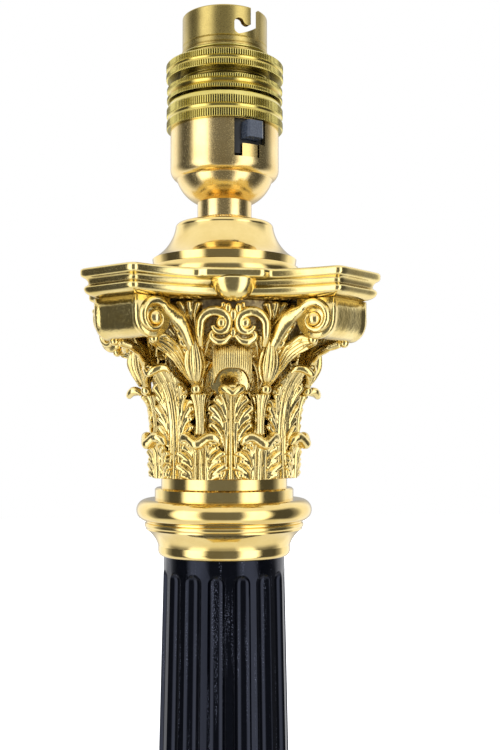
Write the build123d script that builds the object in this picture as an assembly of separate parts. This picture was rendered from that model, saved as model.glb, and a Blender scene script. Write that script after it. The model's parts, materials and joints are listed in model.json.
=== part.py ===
from build123d import *
import os
from math import atan, cos, degrees, radians, sin, sqrt

os.makedirs("parts", exist_ok=True)

# A table lamp in the shape of a Corinthian column, with a bayonet lampholder on top.
# It stands on z = 0 with its front towards -Y. All sizes are in millimetres.
# Its pieces are stacked on one hollow threaded rod, so each level below is worked out
# from the heights of the pieces under it. Azimuths run from the front towards +X.

# ---------------------------------------------------------------- fits
THREAD_CLEARANCE = 0.05
SPIGOT_CLEARANCE = 0.15
SLIDE_CLEARANCE = 0.2
LOOSE_CLEARANCE = 0.3
PLUNGER_CLEARANCE = 0.06

# ---------------------------------------------------------------- rod and its fastenings
ROD_RADIUS = 4.95
ROD_BORE_RADIUS = 3.5
NUT_ACROSS_FLATS = 16.0
NUT_HEIGHT = 6.0
ROD_END_BELOW_NUT = 1.0
WASHER_RADIUS = 14.0
WASHER_THICKNESS = 2.0
LOCK_WASHER_RADIUS = 9.0
LOCK_WASHER_THICKNESS = 1.2
LOCK_TEETH = 10

# ---------------------------------------------------------------- plinth and what closes it
BAIZE_THICKNESS = 1.5
BASE_PLATE_THICKNESS = 2.0
BASE_PLATE_SCREW_RADIUS = 1.9
BASE_PLATE_SCREW_LENGTH = 7.0
SCREW_POST_RADIUS = 4.5
PLINTH_WALL = 4.0
LOWER_STEP_WIDTH = 140.0
LOWER_STEP_HEIGHT = 14.0
MIDDLE_STEP_WIDTH = 118.0
MIDDLE_STEP_HEIGHT = 12.0
UPPER_STEP_WIDTH = 98.0
UPPER_STEP_HEIGHT = 10.5
STEP_EDGE_RADIUS = 2.5
BALLAST_HEIGHT = 14.0
BALLAST_EDGE_GAP = 2.0
EARTH_TAG_THICKNESS = 0.8
EARTH_TAG_WIDTH = 6.0
EARTH_TAG_TAIL = 20.0
BUSH_BORE_RADIUS = 3.3
BUSH_WALL = 1.7
BUSH_FLANGE_RADIUS = 7.2
BUSH_FLANGE_THICKNESS = 1.6
BUSH_LENGTH = 9.0
BUSH_ABOVE_MIDDLE = 0.5

# ---------------------------------------------------------------- column
COLUMN_BASE_HEIGHT = 28.0
COLUMN_BASE_BORE_RADIUS = 12.0
LOWER_TORUS_RADIUS = 38.0
LOWER_TORUS_HEIGHT = 9.0
UPPER_TORUS_RADIUS = 31.5
UPPER_TORUS_HEIGHT = 6.0
SCOTIA_RADIUS = 27.6
SHAFT_HEIGHT = 250.1
SHAFT_FOOT_RADIUS = 24.0
SHAFT_HEAD_RADIUS = 18.9
SHAFT_BORE_RADIUS = 13.0
FLUTES = 16
FILLET_SHARE = 0.26
FLUTE_DEPTH_SHARE = 0.1
FLUTE_HEAD_BELOW_TOP = 3.8
FLUTE_FOOT_ABOVE_BOTTOM = 8.0
DISC_THICKNESS = 6.0
COLLAR_HEIGHT = 17.6
COLLAR_FOOT_RADIUS = 19.4
COLLAR_BEAD_RADIUS = 20.7
COLLAR_CONE_RADIUS = 24.5
COLLAR_FILLET_RADIUS = 25.0
COLLAR_TORUS_RADIUS = 27.5
COLLAR_SPIGOT = 4.0
SEAT_LOWER_RADIUS = 21.8
SEAT_LOWER_HEIGHT = 3.5
SEAT_UPPER_RADIUS = 19.8
SEAT_UPPER_HEIGHT = 3.1
SEAT_SPIGOT = 3.0

# ---------------------------------------------------------------- capital
# Outlines of leaves and stems are shares of the sizes named beside them.
CAPITAL_HEIGHT = 52.7
CAPITAL_BORE_RADIUS = 16.0
CAPITAL_FOOT_RADIUS = 20.6
CAPITAL_WAIST_RADIUS = 20.0
CAPITAL_LIP_RADIUS = 31.0
CAPITAL_LIP_HEIGHT = 2.0
BELL_FLARE = [(0.30, 0.0), (0.53, 0.07), (0.66, 0.29), (0.82, 0.64)]
LEAF_FOOT_RADIUS = 22.4
LEAF_NECK_RADIUS = 23.4
LEAF_CURL = 3.9
LEAF_ROOT = 2.4
LEAF_RIB = 0.7
LEAF_RIB_WIDTH = 2.4
LEAF_TIP_HALF_WIDTH = 3.4
LOWER_LEAF_REACH = 26.2
LOWER_LEAF_TIP = 11.9
LOWER_LEAF_HALF_WIDTH = 7.8
LOWER_LEAF_EDGE = [
    (0.74, 0.0), (0.97, 0.27), (0.82, 0.39), (1.0, 0.66), (0.83, 0.79), (0.92, 0.98), (0.66, 1.1),
]
UPPER_LEAF_REACH = 29.3
UPPER_LEAF_TIP = 27.6
CORNER_LEAF_REACH = 32.5
CORNER_LEAF_TIP = 33.6
UPPER_LEAF_HALF_WIDTH = 7.9
UPPER_LEAF_EDGE = [
    (0.22, 0.0), (0.24, 0.40), (0.71, 0.50), (0.62, 0.58),
    (1.0, 0.70), (0.76, 0.77), (0.91, 0.87), (0.56, 0.93),
]
STALK_AZIMUTH = 22.5
STALK_RIBS = 6
STALK_FOOT = 12.0
STALK_HEIGHT = 28.6
STALK_LEAN = 9.5
STALK_RADIUS = 1.7
BUD_RADIUS = 2.6
STALK_OUTLINE = [(0.0, 0.75), (0.47, 1.0), (0.49, 0.6), (0.525, 1.15), (0.56, 0.6)]
BUD_OUTLINE = [(0.6, 0.25), (0.76, 1.0), (1.0, 0.15)]
STEM_WIDTH = 6.0
STEM_THICKNESS = 3.0
STEM_STATIONS = [
    (20.5, 0.20, 0.54, 0.77), (17.0, 0.32, 0.71, 0.93), (11.5, 0.59, 0.86, 1.0), (8.6, 0.93, 0.94, 1.07),
]
VOLUTE_RADIAL = 42.2
VOLUTE_LEVEL = 46.7
VOLUTE_RADIUS = 5.9
VOLUTE_BAND_WIDTH = 20.0
VOLUTE_BAND_THICKNESS = 0.8
VOLUTE_ROLL_WIDTH = 18.6
VOLUTE_EYE_RADIUS = 2.3
HELIX_LEVEL = 46.0
HELIX_RADIUS = 4.5
HELIX_DEPTH = 3.6
HELIX_SPREAD = 4.8
HELIX_EYE_RADIUS = 1.6
SPIRAL_STEP_SHARE = 0.2
SPIRAL_RIDGE_SHARE = 0.22
SPIRAL_HALF_TURNS = 3
SPIRAL_RELIEF = 0.7
SPIRAL_EDGE = 0.3
BASKET_FOOT = 32.0
BASKET_HEIGHT = 9.0
BASKET_RADIUS = 30.0
BASKET_BELLY = 1.1
BASKET_HALF_ANGLE = 10.5

# ---------------------------------------------------------------- abacus
ABACUS_HEIGHT = 8.5
ABACUS_HALF_WIDTH = 44.8
ABACUS_HORN_CHORD = 28.8
ABACUS_MIDDLE = 33.5
ABACUS_TOP_FILLET = 2.9
ABACUS_CAVETTO = 1.8
ABACUS_SPIGOT = 3.0
FLEURON_WIDTH = 19.0
FLEURON_REACH = 36.8
FLEURON_BOSS_RADIUS = 6.4

# ---------------------------------------------------------------- bell cap and neck
BELL_HEIGHT = 19.2
BELL_WALL = 1.5
BELL_FLANGE_RADIUS = 24.4
BELL_FLANGE_HEIGHT = 4.9
BELL_STEP_RADIUS = 22.9
BELL_STEP_HEIGHT = 2.6
BELL_SHOULDER_RADIUS = 15.6
BELL_SHOULDER_DROP = 1.7
HEAD_WASHER_RADIUS = 13.0
NECK_WASHER_RADIUS = 8.9
NECK_WASHER_THICKNESS = 1.6
NIPPLE_RADIUS = 8.65
NIPPLE_HEIGHT = 5.1

# ---------------------------------------------------------------- lampholder
CAP_RADIUS = 17.3
CAP_WALL = 1.2
CAP_VISIBLE_HEIGHT = 23.1
CAP_FOOT_RADIUS = 8.6
CAP_BOWL_RADIUS = 13.3
CAP_BOWL_HEIGHT = 3.6
CAP_SHOULDER_RADIUS = 15.3
CAP_SHOULDER_HEIGHT = 7.3
CAP_CYLINDER_HEIGHT = 10.6
CAP_BOSS_RADIUS = 7.4
CAP_BOSS_HEIGHT = 7.0
CAP_NECK_WALL = 0.9
CAP_NECK_HEIGHT = 5.0
WINDOW_FROM = 5.0
WINDOW_TO = 41.6
WINDOW_LOWER_TO = 33.4
WINDOW_SILL = 11.3
WINDOW_NOTCH = 15.6
HOUSING_FLANGE = 1.0
HOUSING_BELOW_NECK = 18.0
BAR_AZIMUTH = 24.4
BAR_WIDTH = 5.5
BAR_HEIGHT = 5.2
BAR_TOP_BELOW_RING = 1.0
BAR_REACH = 19.8
BAR_TRAVEL = 4.3
BRIDGE_WIDTH = 2.0
BRIDGE_LENGTH = 9.6
TONGUE_FROM = 14.0
TONGUE_TO = 32.0
TONGUE_HEIGHT = 4.0
TONGUE_THICKNESS = 0.8
TONGUE_INNER_RADIUS = 10.0
TERMINAL_WIDTH = 6.0
TERMINAL_DEPTH = 5.0
TERMINAL_HEIGHT = 7.0
TERMINAL_RADIAL = 9.0
TERMINAL_ABOVE_FOOT = 6.0
TERMINAL_WIRE_RADIUS = 1.4
TERMINAL_WIRE_OFFSET = 1.8
TERMINAL_SCREW_RADIUS = 1.5
CLAMP_RADIUS = 18.6
CLAMP_BEVEL_RADIUS = 17.8
CLAMP_LIP_THICKNESS = 1.15
BARREL_FLANGE_THICKNESS = 1.1
BARREL_HEIGHT = 30.7
BARREL_RADIUS = 13.6
BARREL_BORE_RADIUS = 12.0
BARREL_LOWER_BORE_RADIUS = 11.7
BARREL_BORE_DEPTH = 9.6
SKIRT_THREAD_RADIUS = 14.0
SKIRT_HEIGHT = 18.8
SLOT_MIDDLE = 27.5
SLOT_ENTRY_FROM = 32.0
SLOT_ENTRY_TO = 47.0
SLOT_POCKET_FROM = 8.0
SLOT_POCKET_TO = 21.0
SLOT_ROOF_DEPTH = 4.1
SLOT_NOSE_DEPTH = 5.9
SLOT_FLOOR_DEPTH = 9.1
SLOT_MOUTH_DEPTH = 10.4
LOWER_RING_GAP = 0.85
LOWER_RING_RADIUS = 18.5
LOWER_RING_HEIGHT = 4.4
UPPER_RING_GAP = 2.5
UPPER_RING_RADIUS = 18.75
UPPER_RING_HEIGHT = 5.4
KNURL_GROOVE = 0.55
INSERT_HEIGHT = 9.5
PLUNGER_RADIUS = 1.85
PLUNGER_FLANGE_RADIUS = 2.6
PLUNGER_FLANGE_THICKNESS = 1.2
PLUNGER_STAND = 11.0
PLUNGER_OFFSET = 5.75
PLUNGER_AZIMUTH = 102.0
SPRING_WALL = 0.6

# ---------------------------------------------------------------- levels, from the table up
Z_PLATE = BAIZE_THICKNESS
Z_PLATE_TOP = Z_PLATE + BASE_PLATE_THICKNESS
Z_MIDDLE_STEP = Z_PLATE + LOWER_STEP_HEIGHT
Z_UPPER_STEP = Z_MIDDLE_STEP + MIDDLE_STEP_HEIGHT
Z_PLINTH_TOP = Z_UPPER_STEP + UPPER_STEP_HEIGHT
Z_BALLAST_TOP = Z_PLINTH_TOP - PLINTH_WALL
Z_BALLAST = Z_BALLAST_TOP - BALLAST_HEIGHT
Z_WASHER = Z_BALLAST - WASHER_THICKNESS
Z_EARTH_TAG = Z_WASHER - EARTH_TAG_THICKNESS
Z_LOCK_WASHER = Z_EARTH_TAG - LOCK_WASHER_THICKNESS
Z_FOOT_NUT = Z_LOCK_WASHER - NUT_HEIGHT
Z_ROD = Z_FOOT_NUT - ROD_END_BELOW_NUT
Z_SHAFT = Z_PLINTH_TOP + COLUMN_BASE_HEIGHT
Z_COLLAR = Z_SHAFT + SHAFT_HEIGHT
Z_SEAT = Z_COLLAR + COLLAR_HEIGHT
Z_CAPITAL = Z_SEAT + SEAT_LOWER_HEIGHT + SEAT_UPPER_HEIGHT
Z_ABACUS = Z_CAPITAL + CAPITAL_HEIGHT
Z_BELL = Z_ABACUS + ABACUS_HEIGHT
Z_NECK_WASHER = Z_BELL + BELL_HEIGHT
Z_NIPPLE = Z_NECK_WASHER + NECK_WASHER_THICKNESS
Z_CAP = Z_NIPPLE + NIPPLE_HEIGHT
Z_CLAMP = Z_CAP + CAP_VISIBLE_HEIGHT
Z_NECK_TOP = Z_CLAMP + CAP_NECK_HEIGHT
Z_BARREL = Z_NECK_TOP + HOUSING_FLANGE
Z_SKIRT = Z_BARREL + BARREL_FLANGE_THICKNESS
Z_CLAMP_TOP = Z_SKIRT + CLAMP_LIP_THICKNESS
Z_LOWER_RING = Z_CLAMP_TOP + LOWER_RING_GAP
Z_UPPER_RING = Z_LOWER_RING + LOWER_RING_HEIGHT + UPPER_RING_GAP
Z_RIM = Z_BARREL + BARREL_HEIGHT
Z_HOUSING = Z_NECK_TOP - HOUSING_BELOW_NECK
Z_BAR_TOP = Z_CLAMP - BAR_TOP_BELOW_RING
Z_BAR = Z_BAR_TOP - BAR_HEIGHT
Z_INSERT_TOP = Z_BARREL + INSERT_HEIGHT

HORNS = [45 + 90 * k for k in range(4)]
FACES = [90 * k for k in range(4)]


# ---------------------------------------------------------------- drawing helpers
def outline(start, *steps):
    """A closed face. A pair of numbers is a straight run, two pairs are an arc: middle, end."""
    edges, here = [], start
    for step in steps:
        if isinstance(step[0], tuple):
            edges.append(ThreePointArc(here, step[0], step[1]))
            here = step[1]
        else:
            edges.append(Line(here, step))
            here = step
    if (Vector(*here) - Vector(*start)).length > 1e-6:
        edges.append(Line(here, start))
    return make_face(edges)


def turned(start, *steps, arc=360.0):
    """Turns an outline of radius and height about the Z axis, from +X round."""
    return revolve(Plane.XZ * outline(start, *steps), Axis.Z, arc)


def tube(outer, bore, low, high):
    """A plain turned ring or tube."""
    return turned((bore, low), (outer, low), (outer, high), (bore, high))


def sector(inner, outer, low, high, start, end):
    """A block of a ring, between two azimuths."""
    block = turned((inner, low), (outer, low), (outer, high), (inner, high), arc=end - start)
    return Rot(0, 0, start - 90) * block


def block(width, depth, low, high, x=0.0, y=0.0):
    """A box standing between two levels."""
    return Pos(x, y, (low + high) / 2) * Box(width, depth, high - low)


def face_on(azimuth, shape):
    """Turns a shape that was drawn at the front round to an azimuth."""
    return Rot(0, 0, azimuth) * shape


def at(azimuth, radius, z):
    """A point at an azimuth from the front and a distance from the lamp's axis."""
    return (radius * sin(radians(azimuth)), -radius * cos(radians(azimuth)), z)


def rod(radius, low, high):
    return Pos(0, 0, (low + high) / 2) * Cylinder(radius, high - low)


# ---------------------------------------------------------------- plinth group
def stepped_plinth():
    """A square casting of three steps, hollow from below, its upper edges rounded."""
    steps = [
        (LOWER_STEP_WIDTH, Z_PLATE, Z_MIDDLE_STEP),
        (MIDDLE_STEP_WIDTH, Z_MIDDLE_STEP, Z_UPPER_STEP),
        (UPPER_STEP_WIDTH, Z_UPPER_STEP, Z_PLINTH_TOP),
    ]
    body, hollow = None, None
    for width, low, high in steps:
        step = block(width, width, low, high)
        step = fillet(step.edges().group_by(Axis.Z)[-1], STEP_EDGE_RADIUS)
        inner = width - 2 * PLINTH_WALL
        void = block(inner, inner, Z_PLATE, high - PLINTH_WALL)
        body = step if body is None else body + step
        hollow = void if hollow is None else hollow + void
    body -= hollow
    for x, y in base_plate_screw_places():
        post_top = Z_MIDDLE_STEP - PLINTH_WALL
        body += Pos(x, y, 0) * rod(SCREW_POST_RADIUS, Z_PLATE_TOP, post_top)
        hole_top = Z_PLATE + BASE_PLATE_SCREW_LENGTH
        body -= Pos(x, y, 0) * rod(BASE_PLATE_SCREW_RADIUS, Z_PLATE, hole_top)
    body -= rod(ROD_RADIUS + LOOSE_CLEARANCE, Z_BALLAST_TOP, Z_PLINTH_TOP)
    bush_hole = BUSH_BORE_RADIUS + BUSH_WALL + THREAD_CLEARANCE
    body -= along_back(bush_hole, LOWER_STEP_WIDTH / 2 - BUSH_LENGTH, LOWER_STEP_WIDTH / 2)
    recess = LOWER_STEP_WIDTH / 2 - BUSH_FLANGE_THICKNESS
    body -= along_back(BUSH_FLANGE_RADIUS + THREAD_CLEARANCE, recess, LOWER_STEP_WIDTH / 2)
    return body


def bush_level():
    return Z_PLATE + LOWER_STEP_HEIGHT / 2 + BUSH_ABOVE_MIDDLE


def along_back(radius, start, end):
    """A cylinder through the plinth's back wall, at the cable's level."""
    middle = Pos(0, (start + end) / 2, bush_level())
    return middle * (Rot(90, 0, 0) * Cylinder(radius, end - start))


def cable_bush():
    """The moulded bush in the back wall, its flange flush with the brass."""
    back = LOWER_STEP_WIDTH / 2
    bush = along_back(BUSH_BORE_RADIUS + BUSH_WALL, back - BUSH_LENGTH, back)
    bush += along_back(BUSH_FLANGE_RADIUS, back - BUSH_FLANGE_THICKNESS, back)
    return bush - along_back(BUSH_BORE_RADIUS, back - BUSH_LENGTH, back)


def base_plate_width():
    return LOWER_STEP_WIDTH - 2 * PLINTH_WALL - 2 * LOOSE_CLEARANCE


def base_plate_screw_places():
    out = LOWER_STEP_WIDTH / 2 - PLINTH_WALL - SCREW_POST_RADIUS
    return [(x * out, y * out) for x in (-1, 1) for y in (-1, 1)]


def base_plate():
    """A square steel plate let into the plinth's foot."""
    width = base_plate_width()
    plate = block(width, width, Z_PLATE, Z_PLATE_TOP)
    for x, y in base_plate_screw_places():
        plate -= Pos(x, y, 0) * rod(BASE_PLATE_SCREW_RADIUS + LOOSE_CLEARANCE, Z_PLATE, Z_PLATE_TOP)
        plate -= screw_cone(x, y, LOOSE_CLEARANCE)
    return plate


def screw_cone(x, y, growth):
    """A countersunk head, wide end down, flush with the plate."""
    narrow = BASE_PLATE_SCREW_RADIUS + growth
    cone = Cone(2 * BASE_PLATE_SCREW_RADIUS + growth, narrow, BASE_PLATE_SCREW_RADIUS)
    return Pos(x, y, Z_PLATE + BASE_PLATE_SCREW_RADIUS / 2) * cone


def base_plate_screws():
    screws = []
    for x, y in base_plate_screw_places():
        shank = rod(BASE_PLATE_SCREW_RADIUS - THREAD_CLEARANCE, Z_PLATE, Z_PLATE + BASE_PLATE_SCREW_LENGTH)
        screws.append(Pos(x, y, 0) * shank + screw_cone(x, y, 0.0))
    return Compound(children=screws)


def baize_pad():
    """The cloth pad under the plinth, a little smaller than its foot."""
    width = LOWER_STEP_WIDTH - STEP_EDGE_RADIUS
    return block(width, width, 0.0, Z_PLATE)


def ballast_weight():
    width = UPPER_STEP_WIDTH - 2 * PLINTH_WALL - 2 * BALLAST_EDGE_GAP
    weight = block(width, width, Z_BALLAST, Z_BALLAST_TOP)
    weight = chamfer(weight.edges().filter_by(Axis.Z), 2 * BALLAST_EDGE_GAP)
    return weight - rod(ROD_RADIUS + LOOSE_CLEARANCE, Z_BALLAST, Z_BALLAST_TOP)


def earth_tag():
    """A ring tag on the rod, its tail bent down for the earth wire."""
    root = LOCK_WASHER_RADIUS - EARTH_TAG_WIDTH / 3
    tag = tube(LOCK_WASHER_RADIUS, ROD_RADIUS + SPIGOT_CLEARANCE, Z_EARTH_TAG, Z_WASHER)
    length = EARTH_TAG_TAIL - root
    tag += block(EARTH_TAG_WIDTH, length, Z_EARTH_TAG, Z_WASHER, y=(EARTH_TAG_TAIL + root) / 2)
    low = Z_EARTH_TAG - EARTH_TAG_WIDTH
    tag += block(EARTH_TAG_WIDTH, EARTH_TAG_THICKNESS, low, Z_WASHER, y=EARTH_TAG_TAIL)
    eye = Rot(90, 0, 0) * Cylinder(EARTH_TAG_WIDTH / 4, 2 * EARTH_TAG_WIDTH)
    hole = Pos(0, EARTH_TAG_TAIL, (low + Z_EARTH_TAG) / 2) * eye
    return tag - hole


def lock_washer():
    """A serrated washer: teeth cut round its rim."""
    washer = tube(LOCK_WASHER_RADIUS, ROD_RADIUS + SPIGOT_CLEARANCE, Z_LOCK_WASHER, Z_EARTH_TAG)
    for k in range(LOCK_TEETH):
        notch = block(1.6, 2.4, Z_LOCK_WASHER, Z_EARTH_TAG, y=-LOCK_WASHER_RADIUS)
        washer -= face_on(k * 360 / LOCK_TEETH, notch)
    return washer


def hex_nut(low):
    """A nut on the rod, its corners turned off on both sides."""
    corner = NUT_ACROSS_FLATS / sqrt(3)
    nut = Pos(0, 0, low) * extrude(RegularPolygon(corner, 6), NUT_HEIGHT)
    dressing = turned(
        (0, low),
        (NUT_ACROSS_FLATS / 2, low),
        (corner, low + 0.7),
        (corner, low + NUT_HEIGHT - 0.7),
        (NUT_ACROSS_FLATS / 2, low + NUT_HEIGHT),
        (0, low + NUT_HEIGHT),
    )
    return (nut & dressing) - rod(ROD_RADIUS + THREAD_CLEARANCE, low, low + NUT_HEIGHT)


def tension_rod():
    return tube(ROD_RADIUS, ROD_BORE_RADIUS, Z_ROD, Z_CAP + CAP_BOSS_HEIGHT - 1.0)


# ---------------------------------------------------------------- column group
def column_base_ring():
    """An Attic base: two round mouldings with a hollow one between them."""
    z0, top = Z_PLINTH_TOP, Z_SHAFT
    z1 = z0 + LOWER_TORUS_HEIGHT
    foot = LOWER_TORUS_RADIUS - LOWER_TORUS_HEIGHT / 2
    z3 = top - 2.0
    z2 = z3 - UPPER_TORUS_HEIGHT
    neck = UPPER_TORUS_RADIUS - UPPER_TORUS_HEIGHT / 2
    lip = SHAFT_FOOT_RADIUS + 2.2
    return turned(
        (COLUMN_BASE_BORE_RADIUS, z0),
        (foot, z0),
        ((LOWER_TORUS_RADIUS, (z0 + z1) / 2), (foot, z1)),
        (foot - 1.6, z1),
        (foot - 1.6, z1 + 1.2),
        ((SCOTIA_RADIUS, (z1 + z2) / 2 - 0.4), (neck + 1.4, z2 - 1.2)),
        (neck + 1.4, z2),
        (neck, z2),
        ((UPPER_TORUS_RADIUS, (z2 + z3) / 2), (neck, z3)),
        (lip, z3),
        (lip, top - 0.8),
        (lip - 0.8, top),
        (COLUMN_BASE_BORE_RADIUS, top),
    )


def shaft_radius(height):
    """The column's radius at a height above its foot."""
    return SHAFT_FOOT_RADIUS + (SHAFT_HEAD_RADIUS - SHAFT_FOOT_RADIUS) * height / SHAFT_HEIGHT


def flute_cutter():
    """A tapered round bar with round ends, leaning with the column, at the front."""
    half = radians(180 / FLUTES * (1 - FILLET_SHARE))
    depth = FLUTE_DEPTH_SHARE
    away = (1 - (1 - depth) ** 2) / (2 * (cos(half) - 1 + depth))
    share = away - 1 + depth
    low = FLUTE_FOOT_ABOVE_BOTTOM + share * SHAFT_FOOT_RADIUS
    high = SHAFT_HEIGHT - FLUTE_HEAD_BELOW_TOP - share * SHAFT_HEAD_RADIUS
    wide, narrow = share * shaft_radius(low), share * shaft_radius(high)
    lean = atan(away * (shaft_radius(low) - shaft_radius(high)) / (high - low))
    length = (high - low) / cos(lean)
    bar = turned(
        (0, -wide),
        ((wide * sin(radians(45)), -wide * cos(radians(45))), (wide, 0)),
        (narrow, length),
        ((narrow * sin(radians(45)), length + narrow * cos(radians(45))), (0, length + narrow)),
    )
    foot = Pos(0, -away * shaft_radius(low), Z_SHAFT + low)
    return foot * (Rot(-degrees(lean), 0, 0) * bar)


def fluted_shaft():
    shaft = turned(
        (SHAFT_BORE_RADIUS, Z_SHAFT),
        (SHAFT_FOOT_RADIUS, Z_SHAFT),
        (SHAFT_HEAD_RADIUS, Z_COLLAR),
        (SHAFT_BORE_RADIUS, Z_COLLAR),
    )
    cutter = flute_cutter()
    return shaft - [face_on((k + 0.5) * 360 / FLUTES, cutter) for k in range(FLUTES)]


def centring_discs():
    """Two discs in the shaft's ends that keep the rod on its axis."""
    outer = SHAFT_BORE_RADIUS - SPIGOT_CLEARANCE
    bore = ROD_RADIUS + LOOSE_CLEARANCE
    lower = tube(outer, bore, Z_SHAFT, Z_SHAFT + DISC_THICKNESS)
    top = Z_COLLAR - COLLAR_SPIGOT
    upper = tube(outer, bore, top - DISC_THICKNESS, top)
    return Compound(children=[lower, upper])


def column_collar():
    """The turned ring on the shaft's head: bead, cavetto, fillet and torus."""
    z = Z_COLLAR
    bead_low, bead_high = z + 1.9, z + 3.3
    cone_top = z + 8.3
    fillet_low, fillet_high = z + 8.8, z + 10.5
    torus_low, torus_high = z + 10.9, Z_SEAT
    torus_edge = COLLAR_TORUS_RADIUS - (torus_high - torus_low) / 2 + 0.3
    return turned(
        (ROD_RADIUS + LOOSE_CLEARANCE, z - COLLAR_SPIGOT),
        (SHAFT_BORE_RADIUS - SPIGOT_CLEARANCE, z - COLLAR_SPIGOT),
        (SHAFT_BORE_RADIUS - SPIGOT_CLEARANCE, z),
        (COLLAR_FOOT_RADIUS, z),
        ((COLLAR_FOOT_RADIUS + 1.0, z + 0.7), (COLLAR_BEAD_RADIUS, bead_low)),
        (COLLAR_BEAD_RADIUS, bead_high),
        ((COLLAR_BEAD_RADIUS + 1.5, bead_high + 2.9), (COLLAR_CONE_RADIUS, cone_top)),
        (COLLAR_CONE_RADIUS, fillet_low),
        ((COLLAR_FILLET_RADIUS, (fillet_low + fillet_high) / 2), (COLLAR_CONE_RADIUS, fillet_high)),
        (torus_edge, torus_low),
        ((COLLAR_TORUS_RADIUS, (torus_low + torus_high) / 2 - 0.3), (torus_edge, torus_high)),
        (ROD_RADIUS + LOOSE_CLEARANCE, torus_high),
    )


def capital_seat_ring():
    """Two plain steps between the torus and the capital, with a spigot up into its bore."""
    step = Z_SEAT + SEAT_LOWER_HEIGHT
    spigot = CAPITAL_BORE_RADIUS - SPIGOT_CLEARANCE
    edge = 0.5
    return turned(
        (ROD_RADIUS + LOOSE_CLEARANCE, Z_SEAT),
        (SEAT_LOWER_RADIUS, Z_SEAT),
        (SEAT_LOWER_RADIUS, step - edge),
        (SEAT_LOWER_RADIUS - edge, step),
        (SEAT_UPPER_RADIUS, step),
        (SEAT_UPPER_RADIUS, Z_CAPITAL),
        (spigot, Z_CAPITAL),
        (spigot, Z_CAPITAL + SEAT_SPIGOT),
        (ROD_RADIUS + LOOSE_CLEARANCE, Z_CAPITAL + SEAT_SPIGOT),
    )


# ---------------------------------------------------------------- capital
def capital_bell():
    """The plain vase that the leaves are carved on, flaring in steps to its lip."""
    z, top = Z_CAPITAL, Z_ABACUS
    flare = CAPITAL_LIP_RADIUS - CAPITAL_WAIST_RADIUS
    wall = [(CAPITAL_WAIST_RADIUS + flare * out, z + CAPITAL_HEIGHT * up) for up, out in BELL_FLARE]
    return turned(
        (CAPITAL_BORE_RADIUS, z),
        (CAPITAL_FOOT_RADIUS, z),
        *wall,
        (CAPITAL_LIP_RADIUS, top - CAPITAL_LIP_HEIGHT),
        (CAPITAL_LIP_RADIUS, top),
        (CAPITAL_BORE_RADIUS, top),
    )


def leaf_strip(reach, tip, lift):
    """A turned strip with a leaf's side view: a straight body and a tip that curls out and down."""
    inside = CAPITAL_WAIST_RADIUS - LEAF_ROOT
    foot, z, curl = Z_CAPITAL, Z_CAPITAL + tip, LEAF_CURL
    neck = LEAF_NECK_RADIUS + lift
    strip = turned(
        (inside, foot),
        (LEAF_FOOT_RADIUS + lift, foot),
        (neck, z - curl),
        (neck + 0.4 * (reach - neck), z - 0.75 * curl),
        (reach, z - 0.2 * curl),
        (reach, z + 0.3 * curl),
        (reach - 0.5 * curl, z + 0.8 * curl),
        (neck - 0.3 * curl, z + curl),
        (inside, z + curl),
        arc=60.0,
    )
    return Rot(0, 0, -120) * strip


def leaf_blade(edge, half_width, tip):
    """The leaf's front view, serrated on both sides, as a block from the axis forwards."""
    right = [(half_width * out, tip * up) for out, up in edge]
    right.append((LEAF_TIP_HALF_WIDTH, tip + LEAF_CURL))
    left = [(-x, height) for x, height in reversed(right)]
    face = outline(right[0], *right[1:], *left)
    return Pos(0, 0, Z_CAPITAL) * extrude(Plane.XZ * face, VOLUTE_RADIAL)


def leaf(reach, tip, edge, half_width):
    """One acanthus leaf at the front: the curled strip cut to its outline, with a raised rib."""
    body = leaf_strip(reach, tip, 0.0) & leaf_blade(edge, half_width, tip)
    high = Z_CAPITAL + tip + LEAF_CURL
    middle = block(LEAF_RIB_WIDTH, VOLUTE_RADIAL, Z_CAPITAL, high, y=-VOLUTE_RADIAL / 2)
    return body + (leaf_strip(reach, tip, LEAF_RIB) & middle)


def lower_leaf():
    return leaf(LOWER_LEAF_REACH, LOWER_LEAF_TIP, LOWER_LEAF_EDGE, LOWER_LEAF_HALF_WIDTH)


def upper_leaf(reach, tip):
    return leaf(reach, tip, UPPER_LEAF_EDGE, UPPER_LEAF_HALF_WIDTH)


def stalk():
    """The ribbed stalk between two leaves, with its bead and closed bud, at the front."""
    stations = [(rise, STALK_RADIUS * girth) for rise, girth in STALK_OUTLINE]
    stations += [(rise, BUD_RADIUS * girth) for rise, girth in BUD_OUTLINE]
    faces = [Pos(0, 0, STALK_HEIGHT * rise) * RegularPolygon(radius, STALK_RIBS) for rise, radius in stations]
    foot = Pos(0, -CAPITAL_WAIST_RADIUS - STALK_RADIUS, Z_CAPITAL + STALK_FOOT)
    return foot * (Rot(STALK_LEAN, 0, 0) * loft(faces, ruled=True))


def volute_stem(side):
    """The ribbon from a stalk up to a horn, drawn with the horn at the front."""
    out = VOLUTE_RADIAL - CAPITAL_WAIST_RADIUS
    points = []
    for azimuth, way_out, way_up, _ in STEM_STATIONS:
        level = Z_CAPITAL + CAPITAL_HEIGHT * way_up
        points.append(Vector(*at(side * azimuth, CAPITAL_WAIST_RADIUS + out * way_out, level)))
    faces = []
    for k, (_, _, _, share) in enumerate(STEM_STATIONS):
        along = points[min(k + 1, len(points) - 1)] - points[max(k - 1, 0)]
        across = Vector(0, 0, 1).cross(along)
        section = Rectangle(STEM_WIDTH * share, STEM_THICKNESS)
        faces.append(Plane(points[k], x_dir=across, z_dir=along) * section)
    return loft(faces)


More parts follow.
